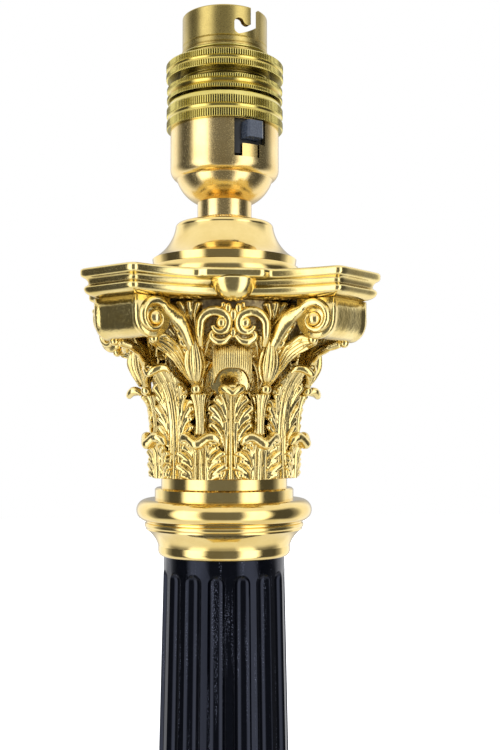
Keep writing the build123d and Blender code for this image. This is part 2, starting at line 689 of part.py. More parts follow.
def spiral(radius, height):
    """A ridge wound inwards in half turns on a flat face, each a step smaller than the last."""
    def run(ends):
        pairs = enumerate(zip(ends, ends[1:]))
        return [(((a + b) / 2, (-1) ** k * abs(a - b) / 2), (b, 0)) for k, (a, b) in pairs]

    step, ridge = SPIRAL_STEP_SHARE * radius, SPIRAL_RIDGE_SHARE * radius
    outer = [(-1) ** k * (radius - k * step) for k in range(SPIRAL_HALF_TURNS + 1)]
    inner = [(-1) ** k * (radius - ridge - k * step) for k in range(SPIRAL_HALF_TURNS + 1)]
    back = [(middle, (start, 0)) for start, (middle, _) in zip(inner, run(inner))]
    face = outline((outer[0], 0), *run(outer), (inner[-1], 0), *back[::-1])
    return extrude(face, height)


def volute_roll():
    """The scroll under a horn, at the front: a roll whose wide band runs straight up to the abacus."""
    level = Z_CAPITAL + VOLUTE_LEVEL
    front = VOLUTE_RADIAL + VOLUTE_RADIUS
    centre = Pos(0, -VOLUTE_RADIAL, level)
    across = Rot(0, 90, 0)
    roll = centre * (across * Cylinder(VOLUTE_RADIUS - VOLUTE_BAND_THICKNESS, VOLUTE_ROLL_WIDTH))
    band = centre * (across * Cylinder(VOLUTE_RADIUS, VOLUTE_BAND_WIDTH))
    half_back = VOLUTE_RADIUS / 2
    band &= block(VOLUTE_BAND_WIDTH, VOLUTE_RADIUS, Z_CAPITAL, Z_ABACUS, y=-front + half_back)
    fascia = block(VOLUTE_BAND_WIDTH, VOLUTE_RADIUS, level, Z_ABACUS, y=-front + half_back)
    depth = VOLUTE_RADIAL - CAPITAL_WAIST_RADIUS
    neck = block(VOLUTE_ROLL_WIDTH / 2, depth, level, Z_ABACUS, y=-VOLUTE_RADIAL + depth / 2)
    pieces = [roll, band, fascia, neck]
    for side in (-1, 1):
        end = centre * Pos(side * VOLUTE_ROLL_WIDTH / 2, 0, 0) * Rot(0, side * 90, 0)
        ridge = spiral(VOLUTE_RADIUS - VOLUTE_BAND_THICKNESS - SPIRAL_EDGE, SPIRAL_RELIEF)
        pieces.append(end * (ridge + Cylinder(VOLUTE_EYE_RADIUS, 2 * SPIRAL_RELIEF)))
    return pieces


def helices():
    """The pair of small scrolls in the middle of a face, each a spiral round a bead."""
    parts = []
    for side in (-1, 1):
        where = Pos(side * HELIX_SPREAD, -CAPITAL_LIP_RADIUS, Z_CAPITAL + HELIX_LEVEL) * Rot(90, 0, 0)
        ground = Pos(0, 0, -HELIX_DEPTH / 2) * Cylinder(HELIX_RADIUS, HELIX_DEPTH)
        ridge = spiral(HELIX_RADIUS - SPIRAL_EDGE, SPIRAL_RELIEF)
        if side > 0:
            ridge = mirror(ridge, about=Plane.YZ)
        parts.append(where * (ground + ridge + Cylinder(HELIX_EYE_RADIUS, 2 * SPIRAL_RELIEF)))
    return parts


def basket():
    """The cup between the stalks, with the arch under it."""
    low, high = Z_CAPITAL + BASKET_FOOT, Z_CAPITAL + BASKET_FOOT + BASKET_HEIGHT
    inner = CAPITAL_WAIST_RADIUS
    cup = turned(
        (inner, low),
        (BASKET_RADIUS - BASKET_BELLY, low),
        (BASKET_RADIUS, (low + high) / 2),
        (BASKET_RADIUS - BASKET_BELLY, high),
        (inner, high),
        arc=2 * BASKET_HALF_ANGLE,
    )
    return Rot(0, 0, -90 - BASKET_HALF_ANGLE) * cup


def capital_eighth():
    """The carving from the middle of a face to the middle of the horn on its right."""
    horn = volute_roll() + [volute_stem(-1), upper_leaf(CORNER_LEAF_REACH, CORNER_LEAF_TIP)]
    face = helices() + [basket(), upper_leaf(UPPER_LEAF_REACH, UPPER_LEAF_TIP)]
    pieces = [face_on(HORNS[0], piece) for piece in horn] + face
    pieces += [face_on(STALK_AZIMUTH, piece) for piece in (stalk(), lower_leaf())]
    whole = capital_bell()
    for piece in pieces:
        whole += piece
    beyond = 2 * VOLUTE_RADIAL
    return whole & sector(CAPITAL_BORE_RADIUS, beyond, Z_CAPITAL, Z_ABACUS, FACES[0], HORNS[0])


def capital_casting():
    """The capital in one casting: an eighth, mirrored and turned round the four faces."""
    eighth = capital_eighth()
    quarter = eighth + mirror(eighth, about=Plane.YZ)
    return quarter + [face_on(azimuth, quarter) for azimuth in FACES[1:]]


# ---------------------------------------------------------------- abacus
def horn_corner(inset):
    """Where a hollow side meets the cut-off horn, both moved in by an inset."""
    sag = ABACUS_HALF_WIDTH - ABACUS_MIDDLE
    radius = (ABACUS_HORN_CHORD**2 + sag**2) / (2 * sag)
    centre = ABACUS_MIDDLE + radius
    reach = radius + inset
    cut = ABACUS_HALF_WIDTH + ABACUS_HORN_CHORD - inset * sqrt(2)
    root = sqrt((cut + centre) ** 2 - 2 * (cut**2 + centre**2 - reach**2))
    out = (cut + centre - root) / 2
    return cut - out, out, centre - reach


def abacus_face(inset, z):
    """The abacus in plan: four hollow sides and four cut-off horns."""
    chord, out, middle = horn_corner(inset)
    edges = []
    for k in range(4):
        turn = Rot(0, 0, 90 * k)
        edges.append(turn * ThreePointArc((-chord, -out), (0, -middle), (chord, -out)))
        edges.append(turn * Line((chord, -out), (out, -chord)))
    return Pos(0, 0, z) * make_face(edges)


def fleuron():
    """The block and half-round boss in the middle of a side."""
    top = Z_BELL
    plate_low = top - ABACUS_TOP_FILLET
    depth = 8.0
    plate = block(FLEURON_WIDTH, depth, plate_low, top, y=-FLEURON_REACH + depth / 2)
    boss = Pos(0, -ABACUS_MIDDLE + 3.2, plate_low) * Sphere(FLEURON_BOSS_RADIUS)
    boss = boss & block(FLEURON_WIDTH, 30.0, Z_ABACUS, plate_low, y=-ABACUS_MIDDLE)
    return [plate, boss]


def abacus_casting():
    """The moulded top plate: fillet, cavetto and ovolo round a hollow-sided square."""
    top_low = Z_BELL - ABACUS_TOP_FILLET
    hollow_low = top_low - ABACUS_CAVETTO
    levels = [
        (0.6, Z_BELL),
        (0.0, Z_BELL - 0.7),
        (0.2, top_low),
        (1.3, top_low - 0.5),
        (1.8, hollow_low),
        (1.0, hollow_low - 0.5),
        (1.2, hollow_low - 1.7),
        (2.4, hollow_low - 3.0),
        (3.8, Z_ABACUS),
    ]
    faces = [abacus_face(inset, z) for inset, z in levels]
    layers = [loft([low, high], ruled=True) for low, high in zip(faces[1:], faces)]
    plate = layers[0] + layers[1:]
    plate += [face_on(az, piece) for az in FACES for piece in fleuron()]
    spigot = CAPITAL_BORE_RADIUS - SPIGOT_CLEARANCE
    plate += rod(spigot, Z_ABACUS - ABACUS_SPIGOT, Z_ABACUS)
    return plate - rod(ROD_RADIUS + LOOSE_CLEARANCE, Z_ABACUS - ABACUS_SPIGOT, Z_BELL)


# ---------------------------------------------------------------- bell cap and neck
def bell_cap():
    """A turned cover: rounded flange, small step and a trumpet up to its shoulder."""
    z, top = Z_BELL, Z_NECK_WASHER
    flange = z + BELL_FLANGE_HEIGHT
    step = flange + BELL_STEP_HEIGHT
    shoulder = top - BELL_SHOULDER_DROP
    bore = ROD_RADIUS + LOOSE_CLEARANCE
    body = turned(
        (bore, z),
        (BELL_FLANGE_RADIUS - 0.5, z),
        ((BELL_FLANGE_RADIUS, z + 0.45 * BELL_FLANGE_HEIGHT), (BELL_FLANGE_RADIUS - 0.9, flange)),
        (BELL_STEP_RADIUS - 0.3, flange + 0.4),
        (BELL_STEP_RADIUS, step),
        ((BELL_SHOULDER_RADIUS + 2.3, step + 4.6), (BELL_SHOULDER_RADIUS, shoulder)),
        ((BELL_SHOULDER_RADIUS - 0.4, shoulder + 1.2), (BELL_SHOULDER_RADIUS - 1.6, top)),
        (bore, top),
    )
    wall = BELL_WALL
    hollow = turned(
        (0, z),
        (BELL_STEP_RADIUS - wall - 1.0, z),
        (BELL_STEP_RADIUS - wall - 1.0, step - wall),
        ((BELL_SHOULDER_RADIUS - wall + 2.0, step + 3.6), (BELL_SHOULDER_RADIUS - wall, shoulder - wall)),
        (0, shoulder - wall),
    )
    return body - hollow


def head_washer():
    return tube(HEAD_WASHER_RADIUS, ROD_RADIUS + SPIGOT_CLEARANCE, Z_BELL, Z_BELL + WASHER_THICKNESS)


def neck_washer():
    edge = 0.3
    return turned(
        (ROD_RADIUS + SPIGOT_CLEARANCE, Z_NECK_WASHER),
        (NECK_WASHER_RADIUS - edge, Z_NECK_WASHER),
        (NECK_WASHER_RADIUS, Z_NECK_WASHER + edge),
        (NECK_WASHER_RADIUS, Z_NIPPLE - edge),
        (NECK_WASHER_RADIUS - edge, Z_NIPPLE),
        (ROD_RADIUS + SPIGOT_CLEARANCE, Z_NIPPLE),
    )


def neck_nipple():
    """The round neck that the holder stands on, screwed on the rod."""
    return tube(NIPPLE_RADIUS, ROD_RADIUS + THREAD_CLEARANCE, Z_NIPPLE, Z_CAP)


# ---------------------------------------------------------------- lampholder
def cap_bore():
    return CAP_RADIUS - CAP_WALL


def cap_neck():
    return cap_bore() + CAP_NECK_WALL


def holder_cap():
    """The brass cup: bowl, rounded shoulder and cylinder, with a window each side for the bar."""
    z = Z_CAP
    shoulder = z + CAP_SHOULDER_HEIGHT
    cylinder = z + CAP_CYLINDER_HEIGHT
    inner = cap_bore()
    wall = CAP_WALL
    cup = turned(
        (0, z),
        (CAP_FOOT_RADIUS, z),
        ((CAP_BOWL_RADIUS, z + CAP_BOWL_HEIGHT), (CAP_SHOULDER_RADIUS - 0.2, shoulder - 0.3)),
        (CAP_SHOULDER_RADIUS, shoulder),
        ((CAP_RADIUS - 0.45, shoulder + 1.5), (CAP_RADIUS, cylinder)),
        (CAP_RADIUS, Z_CLAMP),
        (cap_neck(), Z_CLAMP),
        (cap_neck(), Z_NECK_TOP),
        (0, Z_NECK_TOP),
    )
    bowl = (CAP_BOWL_RADIUS - wall, z + CAP_BOWL_HEIGHT + 1.5 * wall)
    cup -= turned(
        (0, z + 2 * wall),
        (CAP_BOSS_RADIUS, z + 2 * wall),
        (bowl, (CAP_SHOULDER_RADIUS - 2 * wall, shoulder + 0.2)),
        ((inner - 0.5, shoulder + 1.9), (inner, cylinder)),
        (inner, Z_NECK_TOP),
        (0, Z_NECK_TOP),
    )
    cup += rod(CAP_BOSS_RADIUS, z, z + CAP_BOSS_HEIGHT)
    cup -= rod(ROD_RADIUS + THREAD_CLEARANCE, z, z + CAP_BOSS_HEIGHT)
    for turn in (0, 180):
        sill, notch = z + WINDOW_SILL, z + WINDOW_NOTCH
        cup -= sector(inner - 2, CAP_RADIUS + 2, sill, notch, WINDOW_FROM + turn, WINDOW_LOWER_TO + turn)
        cup -= sector(inner - 2, CAP_RADIUS + 2, notch, Z_CLAMP, WINDOW_FROM + turn, WINDOW_TO + turn)
    return cup


def bar_shape(radial_from, radial_to, growth):
    """A block along the switch bar's line, grown all round by a clearance."""
    middle = (radial_from + radial_to) / 2
    length = radial_to - radial_from
    shape = block(BAR_WIDTH + 2 * growth, length, Z_BAR - growth, Z_BAR_TOP + growth, y=-middle)
    return face_on(BAR_AZIMUTH, shape)


def bridge_level():
    return Z_BAR + BAR_HEIGHT / 2


def bridge_shape(length, width, growth, shift=0.0):
    low = bridge_level() - BRIDGE_WIDTH / 2 - growth
    high = bridge_level() + BRIDGE_WIDTH / 2 + growth
    return face_on(BAR_AZIMUTH, block(length, width, low, high, y=shift))


def switch_bar():
    """The push-through bar, its corners eased, with a slot for the moving contact."""
    back = BAR_REACH - BAR_TRAVEL
    bar = bar_shape(-back, BAR_REACH, 0.0)
    bar = chamfer(bar.edges().filter_by(Axis.Z), 0.6)
    return bar - bridge_shape(BRIDGE_LENGTH, BRIDGE_WIDTH, 0.0)


def switch_bridge():
    """The contact piece that rides in the bar."""
    return bridge_shape(BRIDGE_LENGTH, BRIDGE_WIDTH, 0.0)


def terminal_places():
    return [BAR_AZIMUTH + 90, BAR_AZIMUTH - 90]


def terminal_block(azimuth, growth):
    low = Z_HOUSING + TERMINAL_ABOVE_FOOT
    shape = block(
        TERMINAL_WIDTH + 2 * growth,
        TERMINAL_DEPTH + 2 * growth,
        low - growth,
        low + TERMINAL_HEIGHT + growth,
        y=-TERMINAL_RADIAL - TERMINAL_DEPTH / 2,
    )
    return face_on(azimuth, shape)


def terminal(azimuth):
    """A brass terminal with a hole for the wire and one for its screw."""
    low = Z_HOUSING + TERMINAL_ABOVE_FOOT
    middle = low + TERMINAL_HEIGHT / 2
    wire = rod(TERMINAL_WIRE_RADIUS, low, middle + 0.5)
    wire = face_on(azimuth, Pos(0, -TERMINAL_RADIAL - TERMINAL_WIRE_OFFSET, 0) * wire)
    return terminal_block(azimuth, 0.0) - wire - screw_shape(azimuth, THREAD_CLEARANCE, False)


def screw_shape(azimuth, growth, with_head):
    """A terminal screw, lying along the radius."""
    level = Z_HOUSING + TERMINAL_ABOVE_FOOT + TERMINAL_HEIGHT - 2.6
    outer = TERMINAL_RADIAL + TERMINAL_DEPTH
    shank = Pos(0, -outer + 1.6, level) * (Rot(90, 0, 0) * Cylinder(TERMINAL_SCREW_RADIUS + growth, 3.2))
    if with_head:
        head = Pos(0, -outer - 0.6, level) * (Rot(90, 0, 0) * Cylinder(1.5 * TERMINAL_SCREW_RADIUS, 1.2))
        slot = block(0.7, 0.8, level - 3.0, level + 3.0, y=-outer - 1.2)
        shank = shank + head - slot
    return face_on(azimuth, shank)


def terminal_screws():
    return Compound(children=[screw_shape(az, 0.0, True) for az in terminal_places()])


def tongue_level():
    return Z_CAP + WINDOW_SILL


def earth_tongue():
    """A bent brass strip: a foot under the housing's front and a face in the window."""
    low = tongue_level() + 0.1
    outer = CAP_RADIUS - 0.4
    foot = sector(TONGUE_INNER_RADIUS, outer, low, low + TONGUE_THICKNESS, TONGUE_FROM, TONGUE_TO)
    inner = outer - TONGUE_THICKNESS
    return foot + sector(inner, outer, low, low + TONGUE_HEIGHT, TONGUE_FROM, TONGUE_TO)


def switch_housing():
    """The black moulding: a drum in the cap, with the bar's channel and the terminals' pockets."""
    drum = cap_bore() - LOOSE_CLEARANCE
    housing = turned(
        (0, Z_HOUSING),
        (drum - 2.4, Z_HOUSING),
        (drum, Z_HOUSING + 2.4),
        (drum, Z_NECK_TOP),
        (cap_neck() - SPIGOT_CLEARANCE, Z_NECK_TOP),
        (cap_neck() - SPIGOT_CLEARANCE, Z_BARREL),
        (0, Z_BARREL),
    )
    housing -= bar_shape(-CAP_RADIUS, CAP_RADIUS, SLIDE_CLEARANCE)
    room = BRIDGE_WIDTH + 2 * BAR_TRAVEL + 2 * SLIDE_CLEARANCE
    housing -= bridge_shape(BRIDGE_LENGTH + 2 * SLIDE_CLEARANCE, room, SLIDE_CLEARANCE)
    for azimuth in terminal_places():
        housing -= terminal_block(azimuth, 0.0)
        pocket = TERMINAL_RADIAL + TERMINAL_DEPTH
        low = Z_HOUSING + TERMINAL_ABOVE_FOOT
        mouth = block(TERMINAL_WIDTH, 6.0, low, low + TERMINAL_HEIGHT, y=-pocket - 3.0)
        housing -= face_on(azimuth, mouth)
        wire = rod(TERMINAL_WIRE_RADIUS + SLIDE_CLEARANCE, Z_HOUSING, low)
        housing -= face_on(azimuth, Pos(0, -TERMINAL_RADIAL - TERMINAL_WIRE_OFFSET, 0) * wire)
    notch_low = tongue_level() + 0.1
    notch_top = notch_low + TONGUE_HEIGHT + SLIDE_CLEARANCE
    notch = (TONGUE_INNER_RADIUS, CAP_RADIUS, notch_low, notch_top, TONGUE_FROM, TONGUE_TO)
    return housing - sector(*notch)


def plunger_places():
    return [PLUNGER_AZIMUTH, PLUNGER_AZIMUTH + 180]


def plunger_axis(azimuth):
    return Pos(at(azimuth, PLUNGER_OFFSET, 0))


def plunger_shoulder():
    return Z_INSERT_TOP - 1.5


def contact_insert():
    """The pale disc in the barrel, with two stepped holes for the plungers."""
    insert = rod(BARREL_LOWER_BORE_RADIUS - SPIGOT_CLEARANCE, Z_BARREL, Z_INSERT_TOP)
    insert = chamfer(insert.edges().group_by(Axis.Z)[-1], 0.6)
    for azimuth in plunger_places():
        axis = plunger_axis(azimuth)
        insert -= axis * rod(PLUNGER_FLANGE_RADIUS + PLUNGER_CLEARANCE, Z_BARREL, plunger_shoulder())
        insert -= axis * rod(PLUNGER_RADIUS + PLUNGER_CLEARANCE, Z_BARREL, Z_INSERT_TOP)
    return insert


def plunger(azimuth):
    """A contact pin with a collar that the spring pushes up against the insert."""
    top = plunger_shoulder() - PLUNGER_CLEARANCE
    low = top - PLUNGER_FLANGE_THICKNESS
    tip = Z_INSERT_TOP + PLUNGER_STAND
    pin = turned(
        (0, low),
        (PLUNGER_FLANGE_RADIUS, low),
        (PLUNGER_FLANGE_RADIUS, top),
        (PLUNGER_RADIUS, top),
        (PLUNGER_RADIUS, tip - 0.8),
        ((0.75 * PLUNGER_RADIUS, tip - 0.2), (0.4 * PLUNGER_RADIUS, tip)),
        (0, tip),
    )
    return plunger_axis(azimuth) * pin


def plunger_spring(azimuth):
    """The coil under a plunger, as the sleeve that it fills."""
    high = plunger_shoulder() - PLUNGER_CLEARANCE - PLUNGER_FLANGE_THICKNESS
    outer = PLUNGER_FLANGE_RADIUS - PLUNGER_CLEARANCE
    return plunger_axis(azimuth) * tube(outer, outer - SPRING_WALL, Z_BARREL, high)


def slot_cutter():
    """One bayonet slot seen from the front: the entry, the foot and the pocket with its nose."""
    def across(azimuth):
        return BARREL_RADIUS * sin(radians(azimuth - SLOT_MIDDLE))

    mouth_left, mouth_right = across(SLOT_ENTRY_FROM), across(SLOT_ENTRY_TO)
    pocket_left, pocket_right = across(SLOT_POCKET_FROM), across(SLOT_POCKET_TO)
    roof, nose = -SLOT_ROOF_DEPTH, -SLOT_NOSE_DEPTH
    floor, foot = -SLOT_FLOOR_DEPTH, -SLOT_MOUTH_DEPTH
    round_off = (floor + nose) / 2
    middle = (pocket_left + pocket_right) / 2
    face = outline(
        (mouth_right, 1.0),
        (mouth_right, foot),
        (middle, floor),
        ((pocket_left + 0.4, floor + 0.6), (pocket_left, round_off)),
        (pocket_left, nose),
        ((middle, roof), (pocket_right, nose + 0.7)),
        ((pocket_right + 0.9, nose), (mouth_left, nose + 0.4)),
        (mouth_left, 1.0),
    )
    deep = extrude(Plane.XZ * face, BARREL_RADIUS + 2)
    deep -= block(2 * BARREL_RADIUS, BARREL_RADIUS, -20, 5, y=0)
    return Pos(0, 0, Z_RIM) * deep


def bayonet_barrel():
    """The sleeve that takes the bulb: flange, threaded skirt and two bayonet slots."""
    edge = 0.5
    skirt = Z_SKIRT + SKIRT_HEIGHT - BARREL_FLANGE_THICKNESS
    shoulder = Z_RIM - BARREL_BORE_DEPTH
    groove = 0.25
    barrel = turned(
        (BARREL_LOWER_BORE_RADIUS, Z_BARREL),
        (cap_neck() - SPIGOT_CLEARANCE, Z_BARREL),
        (cap_neck() - SPIGOT_CLEARANCE, Z_SKIRT),
        (SKIRT_THREAD_RADIUS, Z_SKIRT),
        (SKIRT_THREAD_RADIUS, skirt),
        (BARREL_RADIUS - groove, skirt + 0.3),
        (BARREL_RADIUS, skirt + 0.7),
        (BARREL_RADIUS, skirt + 1.9),
        (BARREL_RADIUS - groove, skirt + 2.2),
        (BARREL_RADIUS, skirt + 2.5),
        (BARREL_RADIUS, Z_RIM - edge),
        ((BARREL_RADIUS - 0.15, Z_RIM - 0.15), (BARREL_RADIUS - edge, Z_RIM)),
        (BARREL_BORE_RADIUS, Z_RIM),
        (BARREL_BORE_RADIUS, shoulder),
        (BARREL_LOWER_BORE_RADIUS, shoulder),
    )
    slot = slot_cutter()
    return barrel - [face_on(SLOT_MIDDLE + turn, slot) for turn in (0, 180)]


def ring_bore():
    return SKIRT_THREAD_RADIUS + THREAD_CLEARANCE


def clamp_ring():
    """The ring that screws on the cap's neck and holds the barrel's flange under its lip."""
    z, top = Z_CLAMP, Z_CLAMP_TOP
    groove = CLAMP_RADIUS - KNURL_GROOVE
    bore = cap_neck() + THREAD_CLEARANCE
    lip = SKIRT_THREAD_RADIUS + LOOSE_CLEARANCE
    return turned(
        (bore, z),
        (CLAMP_RADIUS - 0.2, z),
        (CLAMP_RADIUS, z + 0.25),
        (CLAMP_RADIUS, z + 2.5),
        (groove, z + 2.8),
        (groove, z + 4.1),
        (CLAMP_RADIUS, z + 4.4),
        (CLAMP_RADIUS, top - 1.65),
        (CLAMP_BEVEL_RADIUS, top),
        (lip, top),
        (lip, Z_SKIRT),
        (bore, Z_SKIRT),
    )


def lower_shade_ring():
    """A thin ring with two knurled edges and a waist between them."""
    z, top = Z_LOWER_RING, Z_LOWER_RING + LOWER_RING_HEIGHT
    waist = LOWER_RING_RADIUS - 2 * KNURL_GROOVE
    return turned(
        (ring_bore(), z),
        (LOWER_RING_RADIUS - 0.3, z),
        (LOWER_RING_RADIUS, z + 0.2),
        (LOWER_RING_RADIUS, z + 1.1),
        ((waist, z + 0.49 * LOWER_RING_HEIGHT), (LOWER_RING_RADIUS, top - 1.4)),
        (LOWER_RING_RADIUS, top - 0.2),
        (LOWER_RING_RADIUS - 0.3, top),
        (ring_bore(), top),
    )


def upper_shade_ring():
    """The ring that holds a shade down: two knurled bands, a groove and a bevelled top."""
    z, top = Z_UPPER_RING, Z_UPPER_RING + UPPER_RING_HEIGHT
    groove = UPPER_RING_RADIUS - KNURL_GROOVE
    return turned(
        (ring_bore(), z),
        (UPPER_RING_RADIUS - 0.5, z),
        (UPPER_RING_RADIUS, z + 0.3),
        (UPPER_RING_RADIUS, z + 1.7),
        (groove, z + 1.9),
        (groove, z + 3.0),
        (UPPER_RING_RADIUS, z + 3.2),
        (UPPER_RING_RADIUS, z + 4.8),
        (UPPER_RING_RADIUS - 0.8, top),
        (ring_bore(), top),
    )


# ---------------------------------------------------------------- the whole lamp
LIVE, NEUTRAL = 0, 1
PIECES = {
    "baize_pad": baize_pad(),
    "base_plate": base_plate(),
    "base_plate_screws": base_plate_screws(),
    "stepped_plinth": stepped_plinth(),
    "cable_bush": cable_bush(),
    "ballast_weight": ballast_weight(),
    "plain_washer": tube(WASHER_RADIUS, ROD_RADIUS + SPIGOT_CLEARANCE, Z_WASHER, Z_BALLAST),
    "earth_tag": earth_tag(),
    "lock_washer": lock_washer(),
    "rod_foot_nut": hex_nut(Z_FOOT_NUT),
    "tension_rod": tension_rod(),
    "column_base_ring": column_base_ring(),
    "fluted_shaft": fluted_shaft(),
    "centring_discs": centring_discs(),
    "column_collar": column_collar(),
    "capital_seat_ring": capital_seat_ring(),
    "capital_casting": capital_casting(),
    "abacus_casting": abacus_casting(),
    "head_washer": head_washer(),
    "rod_head_nut": hex_nut(Z_BELL + WASHER_THICKNESS),
    "bell_cap": bell_cap(),
    "neck_washer": neck_washer(),
    "neck_nipple": neck_nipple(),
    "holder_cap": holder_cap(),
    "switch_housing": switch_housing(),
    "switch_bar": switch_bar(),
    "switch_bridge": switch_bridge(),
    "earth_tongue": earth_tongue(),
    "live_terminal": terminal(terminal_places()[LIVE]),
    "neutral_terminal": terminal(terminal_places()[NEUTRAL]),
    "terminal_screws": terminal_screws(),
    "contact_insert": contact_insert(),
    "live_plunger": plunger(plunger_places()[LIVE]),
    "neutral_plunger": plunger(plunger_places()[NEUTRAL]),
    "live_spring": plunger_spring(plunger_places()[LIVE]),
    "neutral_spring": plunger_spring(plunger_places()[NEUTRAL]),
    "bayonet_barrel": bayonet_barrel(),
    "clamp_ring": clamp_ring(),
    "lower_shade_ring": lower_shade_ring(),
    "upper_shade_ring": upper_shade_ring(),
}

for name, piece in PIECES.items():
    export_step(piece, f"parts/{name}.step")
print("pieces", len(PIECES), "height", round(Z_RIM, 2))
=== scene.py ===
# %% [markdown]
# # Column table lamp
#
# The lamp stands on a stepped brass foot. A black fluted shaft carries a cast capital with two
# rows of acanthus leaves, and on the abacus sits a bayonet lampholder with shade rings.
# The exact solids come in as a fixed frame. This file dresses them: it gives each one its finish,
# and it carves what a plain solid can't hold, such as leaves, scrolls, knurling and threads.

# %% Load the frame
import json
from math import atan2, cos, degrees, pi, radians, sin, sqrt

import bpy
import numpy as np
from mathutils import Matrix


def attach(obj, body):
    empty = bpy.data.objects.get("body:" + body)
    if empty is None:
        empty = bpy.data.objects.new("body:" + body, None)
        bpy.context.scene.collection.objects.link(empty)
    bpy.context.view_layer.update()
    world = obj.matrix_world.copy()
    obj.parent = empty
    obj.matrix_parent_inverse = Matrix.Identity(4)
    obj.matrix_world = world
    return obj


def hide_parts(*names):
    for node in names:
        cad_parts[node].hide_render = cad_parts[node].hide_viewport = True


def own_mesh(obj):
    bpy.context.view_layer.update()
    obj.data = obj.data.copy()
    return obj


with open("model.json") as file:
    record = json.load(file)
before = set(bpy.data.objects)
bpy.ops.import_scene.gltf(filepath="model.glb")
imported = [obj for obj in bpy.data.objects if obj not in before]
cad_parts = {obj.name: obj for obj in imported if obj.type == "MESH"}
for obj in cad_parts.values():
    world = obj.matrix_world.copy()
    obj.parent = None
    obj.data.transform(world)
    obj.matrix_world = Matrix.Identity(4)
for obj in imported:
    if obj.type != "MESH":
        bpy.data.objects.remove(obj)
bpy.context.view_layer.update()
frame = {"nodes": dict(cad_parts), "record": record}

nodes = frame["nodes"]
MM = 0.001

# %% [markdown]
# ## The camera
#
# A lens throws the near parts large and the far ones small, so its distance shows in the picture.
# The two scrolls at the sides, the ring edges and the foot of the capital gave the distance
# (about 0.34 m), the height (0.355 m, just above the lower leaves) and a lens of 51 mm.
# So near, the camera looks steeply up into the bayonet slot, as the photograph does.
# It stands a little to the left of the front and is tilted up by 3 degrees.

# %% Camera
CAMERA_PLACE = (-27.6, -334.7, 355.0)
CAMERA_TURN = -6.1
CAMERA_TILT = 3.0
LENS = 50.9

camera_data = bpy.data.cameras.new("camera")
camera_data.lens = LENS
camera_data.sensor_width = 36.0
camera_data.clip_start = 0.01
camera = bpy.data.objects.new("camera", camera_data)
camera.location = [value * MM for value in CAMERA_PLACE]
camera.rotation_euler = (radians(90 + CAMERA_TILT), 0.0, radians(CAMERA_TURN))
bpy.context.scene.collection.objects.link(camera)
bpy.context.scene.camera = camera
bpy.context.scene.view_settings.view_transform = "Standard"
camera_azimuth = degrees(atan2(CAMERA_PLACE[0], -CAMERA_PLACE[1]))
print("camera stands at azimuth", round(camera_azimuth, 1))

# %% [markdown]
# ## Nodes and colours
#
# Every material and every Geometry Nodes tree below is built with one helper, which adds a node,
# sets its fields and links or fills its sockets. Colours are written as sRGB hex values, as a paint
# program shows them, and one function turns them to the linear numbers that a renderer counts with.


# %% Helpers for node trees and colours
def add(tree, kind, settings=None, inputs=None):
    """A new node with its settings. An input is a value or another node's output socket."""
    node = tree.nodes.new(kind)
    for name, value in (settings or {}).items():
        setattr(node, name, value)
    for name, value in (inputs or {}).items():
        if isinstance(value, bpy.types.NodeSocket):
            tree.links.new(value, node.inputs[name])
        else:
            node.inputs[name].default_value = value
    return node


def colour(code):
    """sRGB hex to linear RGBA."""
    parts = [int(code[k:k + 2], 16) / 255 for k in (1, 3, 5)]
    return [c / 12.92 if c <= 0.04045 else ((c + 0.055) / 1.055) ** 2.4 for c in parts] + [1.0]


def ramp(tree, factor, stops):
    """A colour ramp from a list of (position, hex or grey level)."""
    node = add(tree, "ShaderNodeValToRGB", inputs={"Fac": factor})
    while len(node.color_ramp.elements) < len(stops):
        node.color_ramp.elements.new(1.0)
    for element, (position, value) in zip(node.color_ramp.elements, stops):
        element.position = position
        element.color = colour(value) if isinstance(value, str) else [value] * 3 + [1.0]
    return node.outputs["Color"]


print("middle grey, #808080, in linear numbers:", round(colour("#808080")[0], 3))

# %% [markdown]
# ## Studio light
#
# Polished brass mostly shows its surroundings. A white surround, two soft boxes to the left and
# right of the camera and a darker stretch between them draw the bright and dark bars on every
# round part. The boxes are area lamps of even brightness.
# A lamp's edge is too hard for a mirror, so mirrors see the boxes in a painted panorama instead,
# with soft edges. The same panorama lies on the floor beyond the white paper's reach.

# %% Soft boxes
BOX_DISTANCE = 1.25
BOX_LEVEL = 0.42
soft_boxes = [
    ("left_box", -51.0, 0.80, 1.15, 5.2),
    ("right_box", 44.5, 0.72, 1.15, 4.6),
]
for name, azimuth, width, height, power in soft_boxes:
    lamp = bpy.data.lights.new(name, "AREA")
    lamp.shape = "RECTANGLE"
    lamp.size, lamp.size_y = width, height
    lamp.energy = power
    turn = radians(camera_azimuth + azimuth)
    box = bpy.data.objects.new(name, lamp)
    box.location = (BOX_DISTANCE * sin(turn), -BOX_DISTANCE * cos(turn), BOX_LEVEL)
    box.rotation_euler = (radians(90), 0.0, turn)
    box.visible_camera = False
    box.visible_glossy = False
    bpy.context.scene.collection.objects.link(box)
    print(name, "stands at azimuth", round(degrees(turn), 1))


# %% The panorama that mirrors see
def around(azimuth):
    """Position on the panorama's ramp of an azimuth counted from the camera."""
    return 0.5 + azimuth / 360


